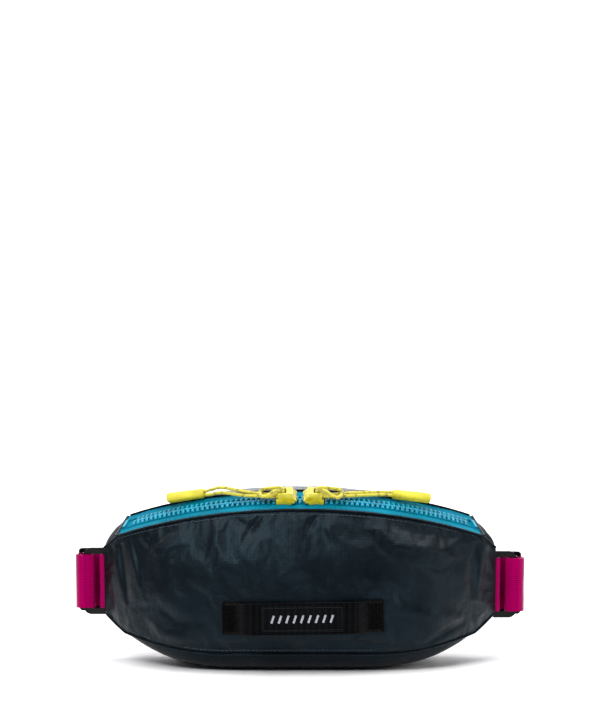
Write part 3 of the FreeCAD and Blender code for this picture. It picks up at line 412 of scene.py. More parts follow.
def on_zip(across, x, lift=0.0):
    """The zip's surface at a distance across the tape, a place x and a height above it."""
    radius = CHAIN_RADIUS - across * ACROSS.dot(INTO_ARC)
    fall = radius - math.sqrt(max(radius ** 2 - x ** 2, 0.0))
    point = ZIP_CENTRE + ACROSS * across + INTO_ARC * fall
    out = Vector((0.0, -math.sin(TAPE_TILT), math.cos(TAPE_TILT)))
    return Vector((x, point.y, point.z)) + out * lift


def zip_frame(angle, across=0.0, lift=0.0):
    """The chain's frame at an angle round its arc: x along it, y across, z out of it."""
    turn = Matrix.Rotation(angle, 4, ZIP_AXIS)
    place = Matrix.Translation(ARC_CENTRE) @ turn @ Matrix.Translation(ZIP_CENTRE - ARC_CENTRE)
    return place @ Matrix.Rotation(TAPE_TILT, 4, "X") @ Matrix.Translation((0, across, lift))


def top_seam(x):
    """The seam between the front panel and the zip, carried on to the wing's top corner."""
    across = -FRONT_TAPE - 0.6
    radius = CHAIN_RADIUS - across * ACROSS.dot(INTO_ARC)
    zip_end = radius * math.sin(CHAIN_HALF_ANGLE)
    if abs(x) <= zip_end:
        return on_zip(across, x)
    corner = on_zip(across, math.copysign(zip_end, x))
    tip = Vector((math.copysign(HALF_LENGTH, x), 16.8, 80.0))
    return corner.lerp(tip, (abs(x) - zip_end) / (HALF_LENGTH - zip_end))


def back_seam(x):
    return Vector((x, back_y(x), 119.8 - 35.3 * taper(x, 2.5)))


def back_low(x):
    return Vector((x, back_y(x), low_z(x) + 6.0 * (1 - 0.5 * taper(x, 2))))


def off_edge(share, *places):
    """1 well inside a sheet's edges, falling to 0 at them over a share of its width."""
    return min(1.0, min(min(place, 1 - place) for place in places) / share)


def wrinkle(place, scale, seed):
    return noise.noise(Vector(place) / scale + Vector((seed, 1.7 * seed, 0.3 * seed)))


# Folds that stay in the front panel: (x, z) points along each, half width, height (in is -).
FOLDS = [
    ([(-25, 110), (-31, 101), (-38, 91)], 2.2, -1.5),
    ([(-50, 107), (-43, 104), (-36, 99)], 3.4, -1.4),
    ([(-60, 108), (-56, 98), (-58, 88)], 4.0, 1.0),
    ([(13, 109), (9, 103), (5, 97)], 2.2, -1.3),
    ([(26, 108), (20, 99), (22, 90)], 4.5, 0.9),
    ([(49, 102), (64, 88), (95, 82), (118, 86)], 4.5, 1.7),
    ([(58, 104), (80, 96), (112, 93)], 5.5, -1.3),
    ([(74, 76), (96, 70), (112, 74)], 4.0, -1.2),
    ([(128, 88), (127, 68), (124, 46)], 2.2, 1.2),
    ([(121, 84), (119, 66), (118, 50)], 2.6, -1.2),
    ([(64, 44), (90, 40), (115, 33)], 5.0, 1.3),
    ([(70, 17), (86, 19), (101, 27), (116, 34)], 2.6, -1.5),
    ([(58, 62), (66, 55), (72, 44)], 3.4, -1.0),
    ([(-106, 38), (-94, 24), (-64, 24)], 4.5, 1.4),
    ([(-98, 46), (-84, 36), (-66, 36)], 3.6, -1.0),
    ([(-102, 80), (-90, 85), (-78, 90)], 4.0, 1.2),
    ([(-112, 92), (-104, 86), (-88, 96)], 3.4, -1.1),
    ([(-126, 92), (-123, 70), (-118, 46)], 2.4, -1.2),
    ([(-119, 90), (-115, 72), (-111, 56)], 2.4, 0.9),
    ([(-74, 60), (-62, 52), (-56, 40)], 3.0, -0.8),
    ([(-28, 66), (-8, 62), (16, 66)], 5.0, -0.7),
    ([(-20, 84), (0, 78), (30, 82)], 6.0, 0.6),
    ([(-30, 22), (0, 20), (34, 23)], 3.4, -0.7),
]


def fold_height(x, z):
    """How far the panel stands out at a place because of its folds."""
    total = 0.0
    for points, width, height in FOLDS:
        near, share = 1e9, 0.0
        for i, ((x0, z0), (x1, z1)) in enumerate(zip(points, points[1:])):
            run = (x1 - x0) ** 2 + (z1 - z0) ** 2
            t = max(0.0, min(1.0, ((x - x0) * (x1 - x0) + (z - z0) * (z1 - z0)) / run))
            gap = math.hypot(x - x0 - t * (x1 - x0), z - z0 - t * (z1 - z0))
            if gap < near:
                near, share = gap, (i + t) / (len(points) - 1)
        fade = 0.35 + 0.65 * math.sin(math.pi * min(max(share, 0.0), 1.0))
        total += height * fade * math.exp(-(near / width) ** 2)
    return 2.0 * total


def front_point(x, rise):
    """The front panel's face from its bottom seam (0) to its top seam (1), with its creases."""
    top, seam, reach = top_seam(x), front_seam(x), front_y(x)
    if rise < 0.3:
        y = reach + (seam.y - reach) * (1 - rise / 0.3) ** 2.2
    else:
        y = reach + (top.y - reach) * ((rise - 0.3) / 0.7) ** 2.2
    z = seam.z + (top.z - seam.z) * rise
    hold = off_edge(0.10, rise) * min(1.0, (HALF_LENGTH - abs(x)) / 8.0)
    gathers = wrinkle((x, 0, 0), 5.0, 3) * math.exp(-(1 - rise) / 0.10) * 1.1
    hem = wrinkle((x, 0, 0), 7.0, 9) * math.exp(-rise / 0.10) * 0.9
    broad = wrinkle((x, z * 1.4, 0), 34.0, 5) * 2.4
    slant = wrinkle((x + 0.8 * z, 0.25 * (x - z), 0), 15.0, 11) * 1.2
    wing = max(0.0, (abs(x) - 95.0) / 44.0)
    folds = wrinkle((x * 1.3 + 0.25 * z, z * 0.12, 0), 7.5, 21) * 2.0 * wing
    depth = hold * (gathers + hem + broad + slant + folds - fold_height(x, z))
    return Vector((x, y + depth, z))


# ------------ mesh helpers


def new_piece(name, vertices, faces, material, body="bag", uvs=None):
    """A mesh from points in millimetres, riding on a body."""
    mesh = bpy.data.meshes.new(name)
    mesh.from_pydata([Vector(v) * MM for v in vertices], [], faces)
    mesh.materials.append(material)
    mesh.shade_smooth()
    piece = new_object(name, mesh)
    if uvs:
        layer = mesh.uv_layers.new(name="UVMap")
        for loop in mesh.loops:
            layer.data[loop.index].uv = uvs[loop.vertex_index]
    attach(piece, body)
    return piece


def grid_faces(columns, rows, closed=False):
    faces = []
    for i in range(columns - 1):
        for j in range(rows if closed else rows - 1):
            k = (j + 1) % rows
            faces.append((i * rows + j, (i + 1) * rows + j, (i + 1) * rows + k, i * rows + k))
    return faces


def capped_faces(rings, sides):
    """The faces of a row of rings, closed at both ends."""
    faces = grid_faces(rings, sides, closed=True)
    faces.append(tuple(reversed(range(sides))))
    last = (rings - 1) * sides
    faces.append(tuple(range(last, last + sides)))
    return faces


def rounded_square(turn, power):
    """A point on a square outline with round corners: where it is across and up."""
    across, rise = math.cos(turn), math.sin(turn)
    return (math.copysign(abs(across) ** power, across), math.copysign(abs(rise) ** power, rise))


def thicken(piece, thickness, offset):
    modifier = piece.modifiers.new("thickness", "SOLIDIFY")
    modifier.thickness = thickness * MM
    modifier.offset = offset


def grid_piece(name, surface, columns, rows, material, thickness, uvs=None, inward=1):
    """A sheet over a grid of points, thickened inward."""
    vertices = [surface(i / (columns - 1), j / (rows - 1))
                for i in range(columns) for j in range(rows)]
    piece = new_piece(name, vertices, grid_faces(columns, rows), material, uvs=uvs)
    thicken(piece, thickness, -1.0 if inward > 0 else 1.0)
    return piece


def tube_mesh(points, radius, sides, flat=1.0, up=Vector((0, 0, 1)), uv_scale=1.0):
    """Rings round a line of points, with capped ends: vertices, faces and texture places."""
    vertices, uvs, travelled = [], [], 0.0
    side = None
    for i, point in enumerate(points):
        ahead = points[min(i + 1, len(points) - 1)] - points[max(i - 1, 0)]
        ahead = ahead.normalized() if ahead.length else Vector((1, 0, 0))
        if side is None:
            side = ahead.cross(up).normalized()
        side = (side - ahead * side.dot(ahead)).normalized()
        over = side.cross(ahead)
        if i:
            travelled += (point - points[i - 1]).length
        for j in range(sides):
            turn = 2 * math.pi * j / sides
            vertices.append(point + side * radius * math.cos(turn)
                            + over * radius * flat * math.sin(turn))
            uvs.append((travelled * uv_scale, j / sides))
    return vertices, capped_faces(len(points), sides), uvs


def tube_piece(name, points, radius, material, sides=10, flat=1.0):
    vertices, faces, uvs = tube_mesh(points, radius, sides, flat)
    return new_piece(name, vertices, faces, material, uvs=uvs)


def joined_piece(name, chunks, material):
    """One mesh from several lists of vertices and faces."""
    vertices, faces = [], []
    for chunk_vertices, chunk_faces in chunks:
        start = len(vertices)
        vertices += chunk_vertices
        faces += [tuple(start + i for i in face) for face in chunk_faces]
    return new_piece(name, vertices, faces, material)


def along(points, spacing, start=0.0):
    """Places at even spacing along a line of points, with the direction at each."""
    places, wanted, travelled = [], start, 0.0
    for first, second in zip(points, points[1:]):
        run = (second - first).length
        while run and wanted <= travelled + run:
            places.append((first.lerp(second, (wanted - travelled) / run),
                           (second - first).normalized()))
            wanted += spacing
        travelled += run
    return places


def stitches(name, points, material, pitch, length, radius, normal=FORWARD):
    """A row of lockstitches lying along a line: each a short thread sunk at both ends."""
    chunks = []
    for place, ahead in along(points, pitch, pitch / 2):
        slant = ahead + ahead.cross(normal) * 0.10
        line = [place + slant * length * step + normal * radius * 2 * lift for step, lift in
                ((-0.5, -0.25), (-0.36, 0.06), (0.0, 0.16), (0.36, 0.06), (0.5, -0.25))]
        vertices, faces, _ = tube_mesh(line, radius, 6, up=normal)
        chunks.append((vertices, faces))
    joined_piece(name, chunks, material)


def stations(low, high, count):
    return [low + (high - low) * i / (count - 1) for i in range(count)]


def subdivide(piece, levels):
    modifier = piece.modifiers.new("smooth", "SUBSURF")
    modifier.levels = modifier.render_levels = levels


def fix_normals(piece):
    work = bmesh.new()
    work.from_mesh(piece.data)
    bmesh.ops.recalc_face_normals(work, faces=work.faces)
    work.to_mesh(piece.data)
    work.free()


def add_bevel(piece, width, segments):
    """Rounded edges, with shading that stays flat on flat faces."""
    bevel = piece.modifiers.new("edges", "BEVEL")
    bevel.width = width * MM
    bevel.segments = segments
    bevel.limit_method = "ANGLE"
    bevel.angle_limit = math.radians(38.0)
    bevel.harden_normals = True


def inflate(piece, pinned, pressure, growth, cap):
    """Cloth simulation: the sheet grows a little and swells while its pinned points hold it.
    Its result is written to the mesh, with each point's move capped in millimetres."""
    mesh = piece.data
    group = piece.vertex_groups.new(name="pinned")
    group.add([i for i in range(len(mesh.vertices)) if pinned(i)], 1.0, "REPLACE")
    others = list(piece.modifiers)
    for modifier in others:
        modifier.show_viewport = False
    modifier = piece.modifiers.new("cloth", "CLOTH")
    settings = modifier.settings
    settings.quality = 6
    settings.mass = 0.15
    settings.tension_stiffness = settings.compression_stiffness = 12.0
    settings.shear_stiffness = 4.0
    settings.bending_stiffness = 0.4
    settings.vertex_group_mass = "pinned"
    settings.shrink_min = -growth
    settings.use_pressure = pressure != 0
    settings.uniform_pressure_force = pressure
    settings.effector_weights.gravity = 0.0
    modifier.collision_settings.use_collision = False
    for step in range(1, 19):
        bpy.context.scene.frame_set(step)
    evaluated = piece.evaluated_get(bpy.context.evaluated_depsgraph_get())
    moved = [v.co.copy() for v in evaluated.data.vertices]
    piece.modifiers.remove(modifier)
    bpy.context.scene.frame_set(1)
    for vertex, place in zip(mesh.vertices, moved):
        change = place - vertex.co
        if change.length > cap * MM:
            change = change.normalized() * cap * MM
        vertex.co += change
    for modifier in others:
        modifier.show_viewport = True


# ------------ bag shell

LOOP_Z = 39.5
LOOP_TILT = math.radians(0.9)
LOOP_ENDS = (-47.0, 50.5)
CHANNEL_X = 46.0


def pressed(x, z):
    """1 where the light loop is sewn flat to the front panel, fading to 0 around it."""
    amount = 0.0
    for end in LOOP_ENDS:
        gap = max(abs(x - end) - 7.0, abs(z - LOOP_Z) - 12.0, 0.0)
        amount = max(amount, 1.0 - min(gap / 9.0, 1.0))
    return amount * amount * (3 - 2 * amount)


def front_surface(u, v):
    x = -HALF_LENGTH + 2 * HALF_LENGTH * u
    point = front_point(x, v)
    flat = Vector((x, front_y(x), point.z))
    if abs(x) < 70 and 0.1 < v < 0.6:
        return point.lerp(flat, pressed(x, point.z))
    return point


def arc_bend(points, t):
    """A smooth line led by control points, flat where three of them are in line."""
    spans = len(points) - 2
    i = min(int(t * spans), spans - 1)
    s = t * spans - i
    start = points[0] if i == 0 else (points[i] + points[i + 1]) / 2
    end = points[-1] if i == spans - 1 else (points[i + 1] + points[i + 2]) / 2
    return start * (1 - s) ** 2 + points[i + 1] * 2 * s * (1 - s) + end * s ** 2


def bottom_surface(u, v):
    x = -132.0 + 264.0 * u
    front, back, low = front_seam(x), back_low(x), low_z(x)
    y0, z0, y1, z1 = front.y + 0.5, front.z - 0.6, back.y - 1.2, back.z - 0.6
    width = y1 - y0
    line = [Vector((x, y0, z0)), Vector((x, y0 + 0.06 * width, low + 0.2 * (z0 - low))),
            Vector((x, y0 + 0.30 * width, low)), Vector((x, y1 - 0.14 * width, low)),
            Vector((x, y1 - 0.01 * width, low + 0.2 * (z1 - low))), Vector((x, y1, z1))]
    point = arc_bend(line, v)
    crease = max(0.0, wrinkle((x, point.y, 0), 12.0, 31)) * 0.9 * off_edge(0.12, v)
    point.z += crease * (1.0 if abs(x) > 50 else 0.5)
    return point


def top_surface(u, v):
    x = -119.4 + 238.8 * u
    start, end = on_zip(BACK_TAPE + 0.5, x), back_seam(x) + Vector((0, -0.2, 1.0))
    rise = max(0.6, 2.6 * (1 - taper(x, 2)))
    point = start.lerp(end, v)
    point.z += rise * math.sin(math.pi * v ** 0.85)
    point.z += wrinkle((x, 3 * point.y, 0), 16.0, 41) * off_edge(0.2, v)
    return point


def lagrange(places, values, t):
    total = Vector((0, 0, 0))
    for i, value in enumerate(values):
        weight = 1.0
        for j, other in enumerate(places):
            if j != i:
                weight *= (t - other) / (places[i] - other)
        total += value * weight
    return total


def shoulder_rows(side):
    """Three rows of points across a shoulder, from the zip's end out to the wing's tip."""
    frame_end = zip_frame(side * (CHAIN_HALF_ANGLE + math.radians(0.35)))
    front_end = frame_end @ Vector((0, -FRONT_TAPE + 0.6, 0))
    back_end = frame_end @ Vector((0, BACK_TAPE, 0))
    above = Vector((0, -0.4, 1.2))
    seam_end = back_seam(side * 121.2) + above

    def across(start, end, lift_near, lift_far):
        return [start, start.lerp(end, 0.35) + Vector((0, 0, lift_near)),
                start.lerp(end, 0.7) + Vector((0, 0, lift_far)), end]

    return ([front_end, front_end.lerp(back_end, 0.5), back_end, seam_end],
            across(top_seam(side * 133.0) + Vector((0, 0.8, 0.4)),
                   back_seam(side * 133.0) + above, 3.6, 2.6),
            across(top_seam(side * 138.4) + Vector((0, 1.0, 0.4)),
                   Vector((side * 138.4, 25.6, 82.0)), 0.0, 0.0))


def make_shoulder(side, name, materials):
    rows = shoulder_rows(side)

    def surface(u, v):
        line = [lagrange((0, 0.35, 0.7, 1), row, v) for row in rows]
        point = lagrange((0, 0.5, 1), line, u)
        return point + Vector((0, 0, wrinkle(point, 9.0, 51) * 0.9 * off_edge(0.15, u, v)))

    piece = grid_piece(f"shoulder_cloth_{name}", surface, 25, 25, materials["gusset"], 1.0,
                       inward=side)
    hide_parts(f"shoulder_{name}")


def back_surface(u, v):
    x = -131.0 + 262.0 * u
    low, top = back_low(x), back_seam(x)
    z = low.z + (top.z - low.z) * v
    swell = off_edge(0.12, v) * off_edge(0.05, u)
    channel = math.exp(-((abs(x) - CHANNEL_X) / 3.0) ** 2) * swell
    return Vector((x, back_y(x) - 1.6 + 1.6 * math.sqrt(swell) - 1.3 * channel, z))


def make_shell(materials):
    columns, rows = 200, 70
    front = grid_piece("front_cloth", front_surface, columns, rows, materials["shell"],
                       SHELL_THICK)

    def held(index):
        i, j = divmod(index, rows)
        place = front.data.vertices[index].co / MM
        at_edge = i < 2 or j < 1 or i > columns - 3 or j > rows - 2
        return at_edge or (abs(place.x) < 70 and 0.1 < j / rows < 0.6
                           and pressed(place.x, place.z) > 0.9)

    inflate(front, held, 1.2, 0.012, 2.6)
    subdivide(front, 1)
    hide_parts("front_panel")
    bottom = grid_piece("bottom_cloth", bottom_surface, 150, 40, materials["gusset"],
                        SHELL_THICK, inward=-1)
    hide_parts("bottom_gusset")
    top = grid_piece("top_cloth", top_surface, 120, 16, materials["top"], TOP_THICK)
    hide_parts("top_gusset")
    columns_back, rows_back = 120, 54
    back = grid_piece("back_pad", back_surface, columns_back, rows_back, materials["mesh"],
                      PAD_THICK, inward=-1)

    def back_held(index):
        i, j = divmod(index, rows_back)
        x = back.data.vertices[index].co.x / MM
        return i < 2 or j < 2 or i > columns_back - 3 or j > rows_back - 3 or (
            abs(abs(x) - CHANNEL_X) < 1.5)

    inflate(back, back_held, 4.0, 0.008, 2.0)
    subdivide(back, 1)
    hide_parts("back_panel", "back_foam")
    for side, name in SIDES:
        make_shoulder(side, name, materials)


def lining_surface(u, v):
    """The loose lining: down inside the front, along the bottom and up inside the back."""
    x = -104.0 + 208.0 * u
    low, back = low_z(x) + 3.4, back_y(x) - 8.4
    seam = front_seam(x)
    inside = Vector((0, 6.0, 0))
    line = [front_point(x, 0.93) + inside * 1.2, front_point(x, 0.7) + inside,
            front_point(x, 0.45) + inside, front_point(x, 0.2) + inside,
            Vector((x, seam.y + 8.5, seam.z)),
            Vector((x, seam.y + 20, low)), Vector((x, back - 10, low)),
            Vector((x, back, low + 8)), Vector((x, back, back_seam(x).z - 20)),
            Vector((x, back, back_seam(x).z - 7))]
    return arc_bend(line, v)


def make_lining(materials):
    lining = grid_piece("lining_cloth", lining_surface, 90, 60, materials["lining"], THIN_CLOTH)
    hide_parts("lining")


def make_inner_pocket(materials):
    """The slip pocket inside the back: slack cloth, sewn at three sides, hemmed at its mouth."""
    node = frame["nodes"]["inner_pocket"]
    corners = [node.matrix_world @ Vector(corner) / MM for corner in node.bound_box]
    low, high = (Vector(map(pick, zip(*corners))) for pick in (min, max))

    def surface(u, v):
        x, z = low.x + (high.x - low.x) * u, low.z + (high.z - low.z) * v
        slack = off_edge(0.2, u) * min(1.0, 3.0 * v)
        return Vector((x, low.y + (wrinkle((x, 0, z), 20.0, 81) - 0.6) * slack, z))

    cloth = grid_piece("inner_pocket_cloth", surface, 60, 24, materials["lining"], THIN_CLOTH)
    hem = [surface(u, 1.0) for u in stations(0.0, 1.0, 60)]
    tube_piece("inner_pocket_hem", hem, 0.7, materials["lining"], 8)
    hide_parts("inner_pocket")


# ------------ seams and stitching

def make_seams(materials):
    """The raised joins where the panels meet, and the bound edges."""
    gusset, binding = materials["gusset"], materials["binding"]
    rows = [
        ("top_seam_fold", top_seam, 138, 240, (0, -0.2, 0.1), 1.25, gusset, 0.75),
        ("bottom_seam_fold", front_seam, 137, 240, (0, -0.1, -0.4), 1.0, gusset, 0.8),
        ("zip_back_binding", lambda x: on_zip(BACK_TAPE + 0.4, x, 0.5), 120, 160, (0, 0, 0), 1.3,
         binding, 0.7),
        ("back_top_binding", back_seam, 130, 160, (0, -0.7, 0.6), 1.7, binding, 1.0),
        ("back_low_binding", back_low, 131, 160, (0, -0.9, -0.4), 1.7, binding, 1.0),
    ]
    for name, seam, reach, count, offset, radius, material, flat in rows:
        line = [seam(x) + Vector(offset) for x in stations(-reach, reach, count)]
        tube_piece(name, line, radius, material, 10, flat)
    for side, name in SIDES:
        edge = [Vector((side * 138.9, 17.2, z)) for z in stations(35.5, 80.0, 20)]
        tube_piece(f"wing_edge_{name}", edge, 1.2, gusset)
        rear = [Vector((side * 131.0, back_y(131.0) - 1.2, z)) for z in stations(36.0, 88.0, 24)]
        tube_piece(f"back_edge_{name}", rear, 1.8, binding)
        end = [zip_frame(side * (CHAIN_HALF_ANGLE + 0.004), w, 0.4).translation
               for w in stations(-FRONT_TAPE, BACK_TAPE, 24)]
        tube_piece(f"zip_end_fold_{name}", end, 1.3, gusset, 10, 0.7)


def make_stitching(materials):
    """Lockstitch rows beside the seams, a little off the cloth's face."""
    for name, rise, reach, lift in (("top_seam", 0.974, 134, 0.25), ("hem", 0.028, 128, 0.30)):
        line = [front_point(x, rise) + FORWARD * lift for x in stations(-reach, reach, 300)]
        stitches(f"{name}_stitches", line, materials["thread"], 3.0, 2.2, 0.26)
    for name, across in (("front_edge", -10.2), ("back_edge", 10.6)):
        line = [on_zip(across, x, 0.42) for x in stations(-119, 119, 200)]
        stitches(f"tape_{name}_stitches", line, materials["blue_thread"], 2.6, 1.9, 0.18, ON_TAPE)


# ------------ zip

def make_tapes(materials):
    """The two tapes, each with the beaded edge that its teeth are moulded on."""
    for name, near, far in (("front", -4.3, -FRONT_TAPE), ("back", 4.3, BACK_TAPE)):
        columns, rows = 170, 12
        vertices, uvs = [], []
        for angle in stations(-CHAIN_HALF_ANGLE, CHAIN_HALF_ANGLE, columns):
            for j, across in enumerate(stations(near, far, rows)):
                ripple = wrinkle((angle * 200, across * 2, 0), 11.0, 61) * 0.5 * (j / rows)
                vertices.append(zip_frame(angle, across, ripple).translation)
                uvs.append((angle * CHAIN_RADIUS * MM, across * MM))
        tape = new_piece(f"zip_{name}_tape_cloth", vertices, grid_faces(columns, rows),
                         materials["tape"], uvs=uvs)
        thicken(tape, 0.6, 0.0)
        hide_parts(f"zip_tape_{name}")
        edge = 4.7 if near > 0 else -4.7
        line = [zip_frame(angle, edge).translation
                for angle in stations(-CHAIN_HALF_ANGLE, CHAIN_HALF_ANGLE, 160)]
        tube_piece(f"zip_{name}_bead", line, 0.85, materials["tape"], 8)
    for side, name in SIDES:
        make_end_tape(side, name, materials)


def make_end_tape(side, name, materials):
    """The short piece of tape that closes the gap past the last teeth."""
    def surface(u, v):
        angle = side * (CHAIN_HALF_ANGLE - math.radians(2.8) * (1 - u))
        return zip_frame(angle, 9.6 * v - 4.8, -0.3).translation

    columns, rows = 10, 8
    uvs = [(i * 1.1 * MM, j * 1.4 * MM) for i in range(columns) for j in range(rows)]
    grid_piece(f"zip_end_tape_{name}", surface, columns, rows, materials["tape"], THIN_CLOTH,
               uvs=uvs)


def tooth_chunk(place, turn):
    """One moulded tooth: a clamp round the tape's bead, a waist, and a head that interlocks."""
    right = [(0.7, 4.7), (1.2, 4.2), (1.2, 2.6), (0.60, 1.9), (0.60, 1.2), (1.18, 0.2),
             (1.10, -0.7), (0.55, -1.2)]
    outline = right + [(-x, y) for x, y in reversed(right)]
    layers = [(-1.5, 0.80), (-1.2, 1.0), (1.1, 1.0), (1.6, 0.74)]
    vertices = []
    for height, size in layers:
        for x, y in outline:
            vertices.append(place @ Vector((x * size, turn * (2.4 + (y - 2.4) * size), height)))
    return vertices, capped_faces(len(layers), len(outline))


def make_teeth(materials):
    """Both rows of teeth, meshed along the chain."""
    step = TOOTH_PITCH / CHAIN_RADIUS
    count = int((CHAIN_HALF_ANGLE - math.radians(2.3)) / step)
    for name, turn, shift in (("front", -1, 0.0), ("back", 1, 0.5)):
        chunks = [tooth_chunk(zip_frame((i + shift) * step), turn)
                  for i in range(-count, count + 1)]
        teeth = joined_piece(f"zip_{name}_teeth", chunks, materials["teeth"])
        fix_normals(teeth)
        add_bevel(teeth, 0.14, 2)
        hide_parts(f"zip_teeth_{name}")


# ------------ pulls

BAR_OUT, BAR_HIGH = 4.0, 7.3


def make_slider_crown(side, name, materials):
    """The slider's smooth crown: high over the cross bar's cheeks, flaring down to the nose."""
    bar, outward, back, up = pull_frame(side, name)
    sections = [(0.5, 4.3, 3.2, 7.6, 0.0), (0.9, 4.8, 3.0, 8.6, 0.0), (2.4, 5.0, 2.9, 8.9, 0.0),
                (3.9, 5.2, 2.8, 8.3, 0.2), (5.1, 5.8, 2.7, 6.9, 0.6), (6.1, 6.5, 2.6, 5.3, 1.0),
                (6.8, 6.9, 2.4, 4.2, 1.5), (7.1, 6.6, 2.3, 3.7, 1.7)]
    vertices, sides = [], 28
    for along_slider, half_width, low, high, bow in sections:
        for j in range(sides):
            wide, tall = rounded_square(2 * math.pi * j / sides, 0.6)
            x = along_slider + bow * (wide * wide - 0.6)
            z = (low + high) / 2 + tall * (high - low) / 2
            vertices.append(bar - outward * (x + BAR_OUT) + back * wide * half_width
                            + up * (z - BAR_HIGH))
    faces = capped_faces(len(sections), sides)
    crown = new_piece(f"slider_{name}_crown", vertices, faces, materials["slider"],
                      f"slider_{name}")
    fix_normals(crown)
    subdivide(crown, 1)


def pull_frame(side, name):
    """The frame of a pull's bar: outward along the zip, back across it, up from it."""
    swing, travel = JOINTS[f"pull_{name}_swing"], JOINTS[f"slider_{name}_travel"]
    bar = Vector(swing["pos_m"]) / MM
    back = Vector(swing["axis"]) * -side
    outward = Vector(travel["axis"]).cross(bar - Vector(travel["pos_m"]) / MM)
    outward = (outward - back * outward.dot(back)).normalized()
    up = outward.cross(back)
    if up.z < 0:
        up.negate()
    return bar, outward, back, up


def pull_points(side, name, pull_route):
    bar, outward, back, up = pull_frame(side, name)
    return [bar + outward * u + back * w + up * n for u, w, n in pull_route]


def make_pull_cord(side, name, pull_route, materials):
    points = pull_points(side, name, pull_route)
    line = [arc_bend(points, t) for t in stations(0.0, 1.0, 10 * (len(points) - 1))]
    length = sum((b - a).length for a, b in zip(line, line[1:]))
    vertices, faces, uvs = tube_mesh(line, 1.2, 14, uv_scale=0.16)
    cord = new_piece(f"pull_{name}_cord", vertices, faces, materials["cord"], f"pull_{name}",
                     uvs=uvs)
    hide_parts(f"pull_cord_{name}")


def make_pull_grip(side, name, pull_route, materials):
    """The moulded grip on the cord's two ends: rounded, ribbed and thinner at its mouth."""
    points = pull_points(side, name, pull_route)
    mouth = (points[0] + points[-1]) / 2
    ahead = (mouth - (points[1] + points[-2]) / 2).normalized()
    spread = (points[0] - points[-1]).normalized()
    over = ahead.cross(spread).normalized()
    spread = over.cross(ahead)
    sections = [(-0.4, 0.70), (0.0, 0.86), (0.8, 0.95), (2.6, 1.0), (4.0, 0.92), (5.0, 0.92),
                (6.2, 1.0), (7.4, 0.92), (8.4, 0.92), (9.6, 1.0), (17.0, 1.0), (22.0, 1.02),
                (25.0, 0.99), (26.2, 0.90), (26.8, 0.72), (27.0, 0.45)]
    vertices, sides = [], 28
    for travel, size in sections:
        for j in range(sides):
            wide, tall = rounded_square(2 * math.pi * j / sides, 0.72)
            vertices.append(mouth + ahead * (travel + 0.4) + spread * wide * 3.5 * size
                            + over * tall * 3.1 * size)
    faces = capped_faces(len(sections), sides)
    grip = new_piece(f"pull_{name}_grip", vertices, faces, materials["grip"], f"pull_{name}")
    fix_normals(grip)
    subdivide(grip, 1)
    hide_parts(f"pull_grip_{name}")


# ------------ light loop and label

def loop_to_row(x, y, z):
    """A point of the light loop's own frame, which is tilted a little."""
    turned = Matrix.Rotation(-LOOP_TILT, 3, "Y") @ Vector((x, 0.0, z))
    return Vector((turned.x, y, LOOP_Z + turned.z))


def loop_line():
    """The loop from above: sewn flat at both ends, standing off the panel between."""
    def on_panel(x):
        return Vector((x, front_y(x) - 1.0, 0.0))

    stand = -51.8
    corners = [on_panel(-52.9), on_panel(-48.0), on_panel(-42.5), Vector((-36.5, stand + 0.3, 0)),
               Vector((-30.0, stand, 0)), Vector((0.0, stand - 0.2, 0)), Vector((32.0, stand, 0)),
               Vector((39.5, stand + 0.3, 0)), on_panel(45.5), on_panel(51.0), on_panel(57.0)]
    return [arc_bend(corners, t) for t in stations(0.0, 1.0, 140)]


def make_light_loop(materials):
    """Webbing with a rounded selvage, swept along the loop's line."""
    half, thick = 11.0, 0.6
    face = [(-half, -0.25), (-half + 0.25, -thick), (-half + 1.2, -thick),
            (half - 1.2, -thick), (half - 0.25, -thick), (half, -0.25)]
    section = face + [(-z, -depth) for z, depth in face]
    line = loop_line()
    vertices = []
    for i, point in enumerate(line):
        ahead = (line[min(i + 1, len(line) - 1)] - line[max(i - 1, 0)]).normalized()
        out = Vector((ahead.y, -ahead.x, 0.0))
        for z, depth in section:
            cup = 0.25 * (z / half) ** 2
            place = point - out * (depth - cup)
            vertices.append(loop_to_row(place.x, place.y, z))
    faces = capped_faces(len(line), len(section))
    loop = new_piece("light_loop_webbing", vertices, faces, materials["black_webbing"])
    fix_normals(loop)
    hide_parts("light_loop")
    for name, low, high in (("left", -51.6, -42.0), ("right", 45.2, 55.6)):
        make_end_tacks(name, low, high, materials)


def make_end_tacks(name, low, high, materials):
    """The dense black zigzags, side by side, that hold one end of the loop."""
    columns, steps = 4, 44
    pitch = (high - low) / columns
    for column in range(columns):
        middle = low + pitch * (column + 0.5)
        line = []
        for i, z in enumerate(stations(-9.8, 9.8, steps)):
            x = middle + 0.6 * pitch * (1 if i % 2 else -1)
            line.append(loop_to_row(x, front_y(x) - 1.9, z))
        tube_piece(f"loop_{name}_tack_{column + 1}", line, 0.34, materials["black_thread"], 6)


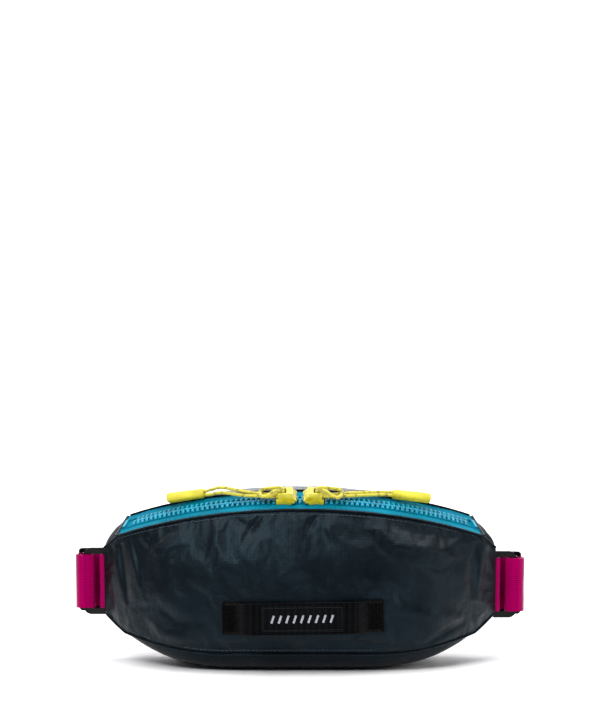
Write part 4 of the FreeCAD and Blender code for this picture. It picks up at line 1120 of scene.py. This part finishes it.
def make_label(materials):
    """The sewn patch, with a stitched border and a plain row of slanted satin bars."""
    half_width, half_height = 28.0, 9.0

    def bow(x, z):
        edge = max(abs(x) / half_width, abs(z) / half_height)
        return -52.85 - 0.5 * (1 - edge ** 4) + 0.1 * wrinkle((x, 0, z), 6.0, 71)

    def surface(u, v):
        x, z = half_width * (2 * u - 1), half_height * (2 * v - 1)
        return loop_to_row(x + 1.5, bow(x, z), z)

    patch = grid_piece("label_cloth", surface, 60, 22, materials["label"], 0.5)
    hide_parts("label_patch")

    corners = [(-26.6, -7.6), (26.6, -7.6), (26.6, 7.6), (-26.6, 7.6), (-26.6, -7.6)]
    border = []
    for (x0, z0), (x1, z1) in zip(corners, corners[1:]):
        for t in range(25):
            x, z = x0 + (x1 - x0) * t / 24, z0 + (z1 - z0) * t / 24
            border.append(loop_to_row(x + 1.5, bow(x, z) - 0.2, z))
    stitches("label_border_stitches", border, materials["black_thread"], 2.0, 1.5, 0.22)
    chunks = []
    for i in range(9):
        middle = -20.0 + 5.0 * i
        line = [loop_to_row(middle + 1.5 + 0.35 * z, bow(middle, z) - 0.12, z)
                for z in stations(-2.6, 2.6, 7)]
        vertices, faces, _ = tube_mesh(line, 0.75, 8, 0.4, FORWARD)
        chunks.append((vertices, faces))
    joined_piece("label_bars", chunks, materials["label_thread"])


# ------------ belt

def make_webbing(node, material, body="bag"):
    """A band on the CAD's folds, its long faces divided and given the slack of worn cloth."""
    source = frame["nodes"][node]
    work = bmesh.new()
    work.from_mesh(source.data)
    work.transform(source.matrix_world)
    bmesh.ops.remove_doubles(work, verts=work.verts, dist=0.01 * MM)
    for _ in range(4):
        long_edges = [edge for edge in work.edges if edge.calc_length() > 5.0 * MM]
        bmesh.ops.subdivide_edges(work, edges=long_edges, cuts=1)
        bmesh.ops.triangulate(work, faces=work.faces)
    work.normal_update()
    work.verts.index_update()
    vertices = [vertex.co / MM + vertex.normal * wrinkle(vertex.co / MM, 16.0, 91) * 0.3
                for vertex in work.verts]
    faces = [[vertex.index for vertex in face.verts] for face in work.faces]
    work.free()
    band = new_piece(f"{node}_cloth", vertices, faces, material, body)
    band.data.set_sharp_from_angle(angle=math.radians(40.0))
    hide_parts(node)


def make_belt(materials):
    for _, name in SIDES:
        make_webbing(f"anchor_webbing_{name}", materials["belt"])
        make_webbing(f"belt_webbing_{name}", materials["belt"], f"belt_{name}")
        make_webbing(f"keeper_{name}", materials["elastic"], f"keeper_{name}")


# ------------ pieces kept from the CAD

def finish_nodes(materials):
    """The hard pieces keep their CAD shape, with moulded materials and rounded edges."""
    hardware = materials["hardware"]
    finishes = [(node, hardware, 0.5, 3)
                for node in ("buckle_socket", "buckle_plug", "prong_upper", "prong_lower")]
    for _, name in SIDES:
        finishes += [(f"slider_{name}", materials["slider"], 0.45, 3),
                     (f"zip_stop_{name}", materials["teeth"], 0.4, 2),
                     (f"ring_{name}", hardware, 0.7, 3), (f"triglide_{name}", hardware, 0.6, 3)]
    for node, material, bevel, segments in finishes:
        piece = frame["nodes"][node]
        piece.data.materials.clear()
        piece.data.materials.append(material)
        add_bevel(piece, bevel, segments)


def main():
    add_camera()
    materials = make_materials()
    for (side, name), pull_route in zip(SIDES, (LEFT_PULL_ROUTE, RIGHT_PULL_ROUTE)):
        make_pull_cord(side, name, pull_route, materials)
        make_pull_grip(side, name, pull_route, materials)
        make_slider_crown(side, name, materials)
    add_studio()
    make_shell(materials)
    make_lining(materials)
    make_inner_pocket(materials)
    make_seams(materials)
    make_stitching(materials)
    make_tapes(materials)
    make_teeth(materials)
    make_light_loop(materials)
    make_label(materials)
    make_belt(materials)
    finish_nodes(materials)


main()
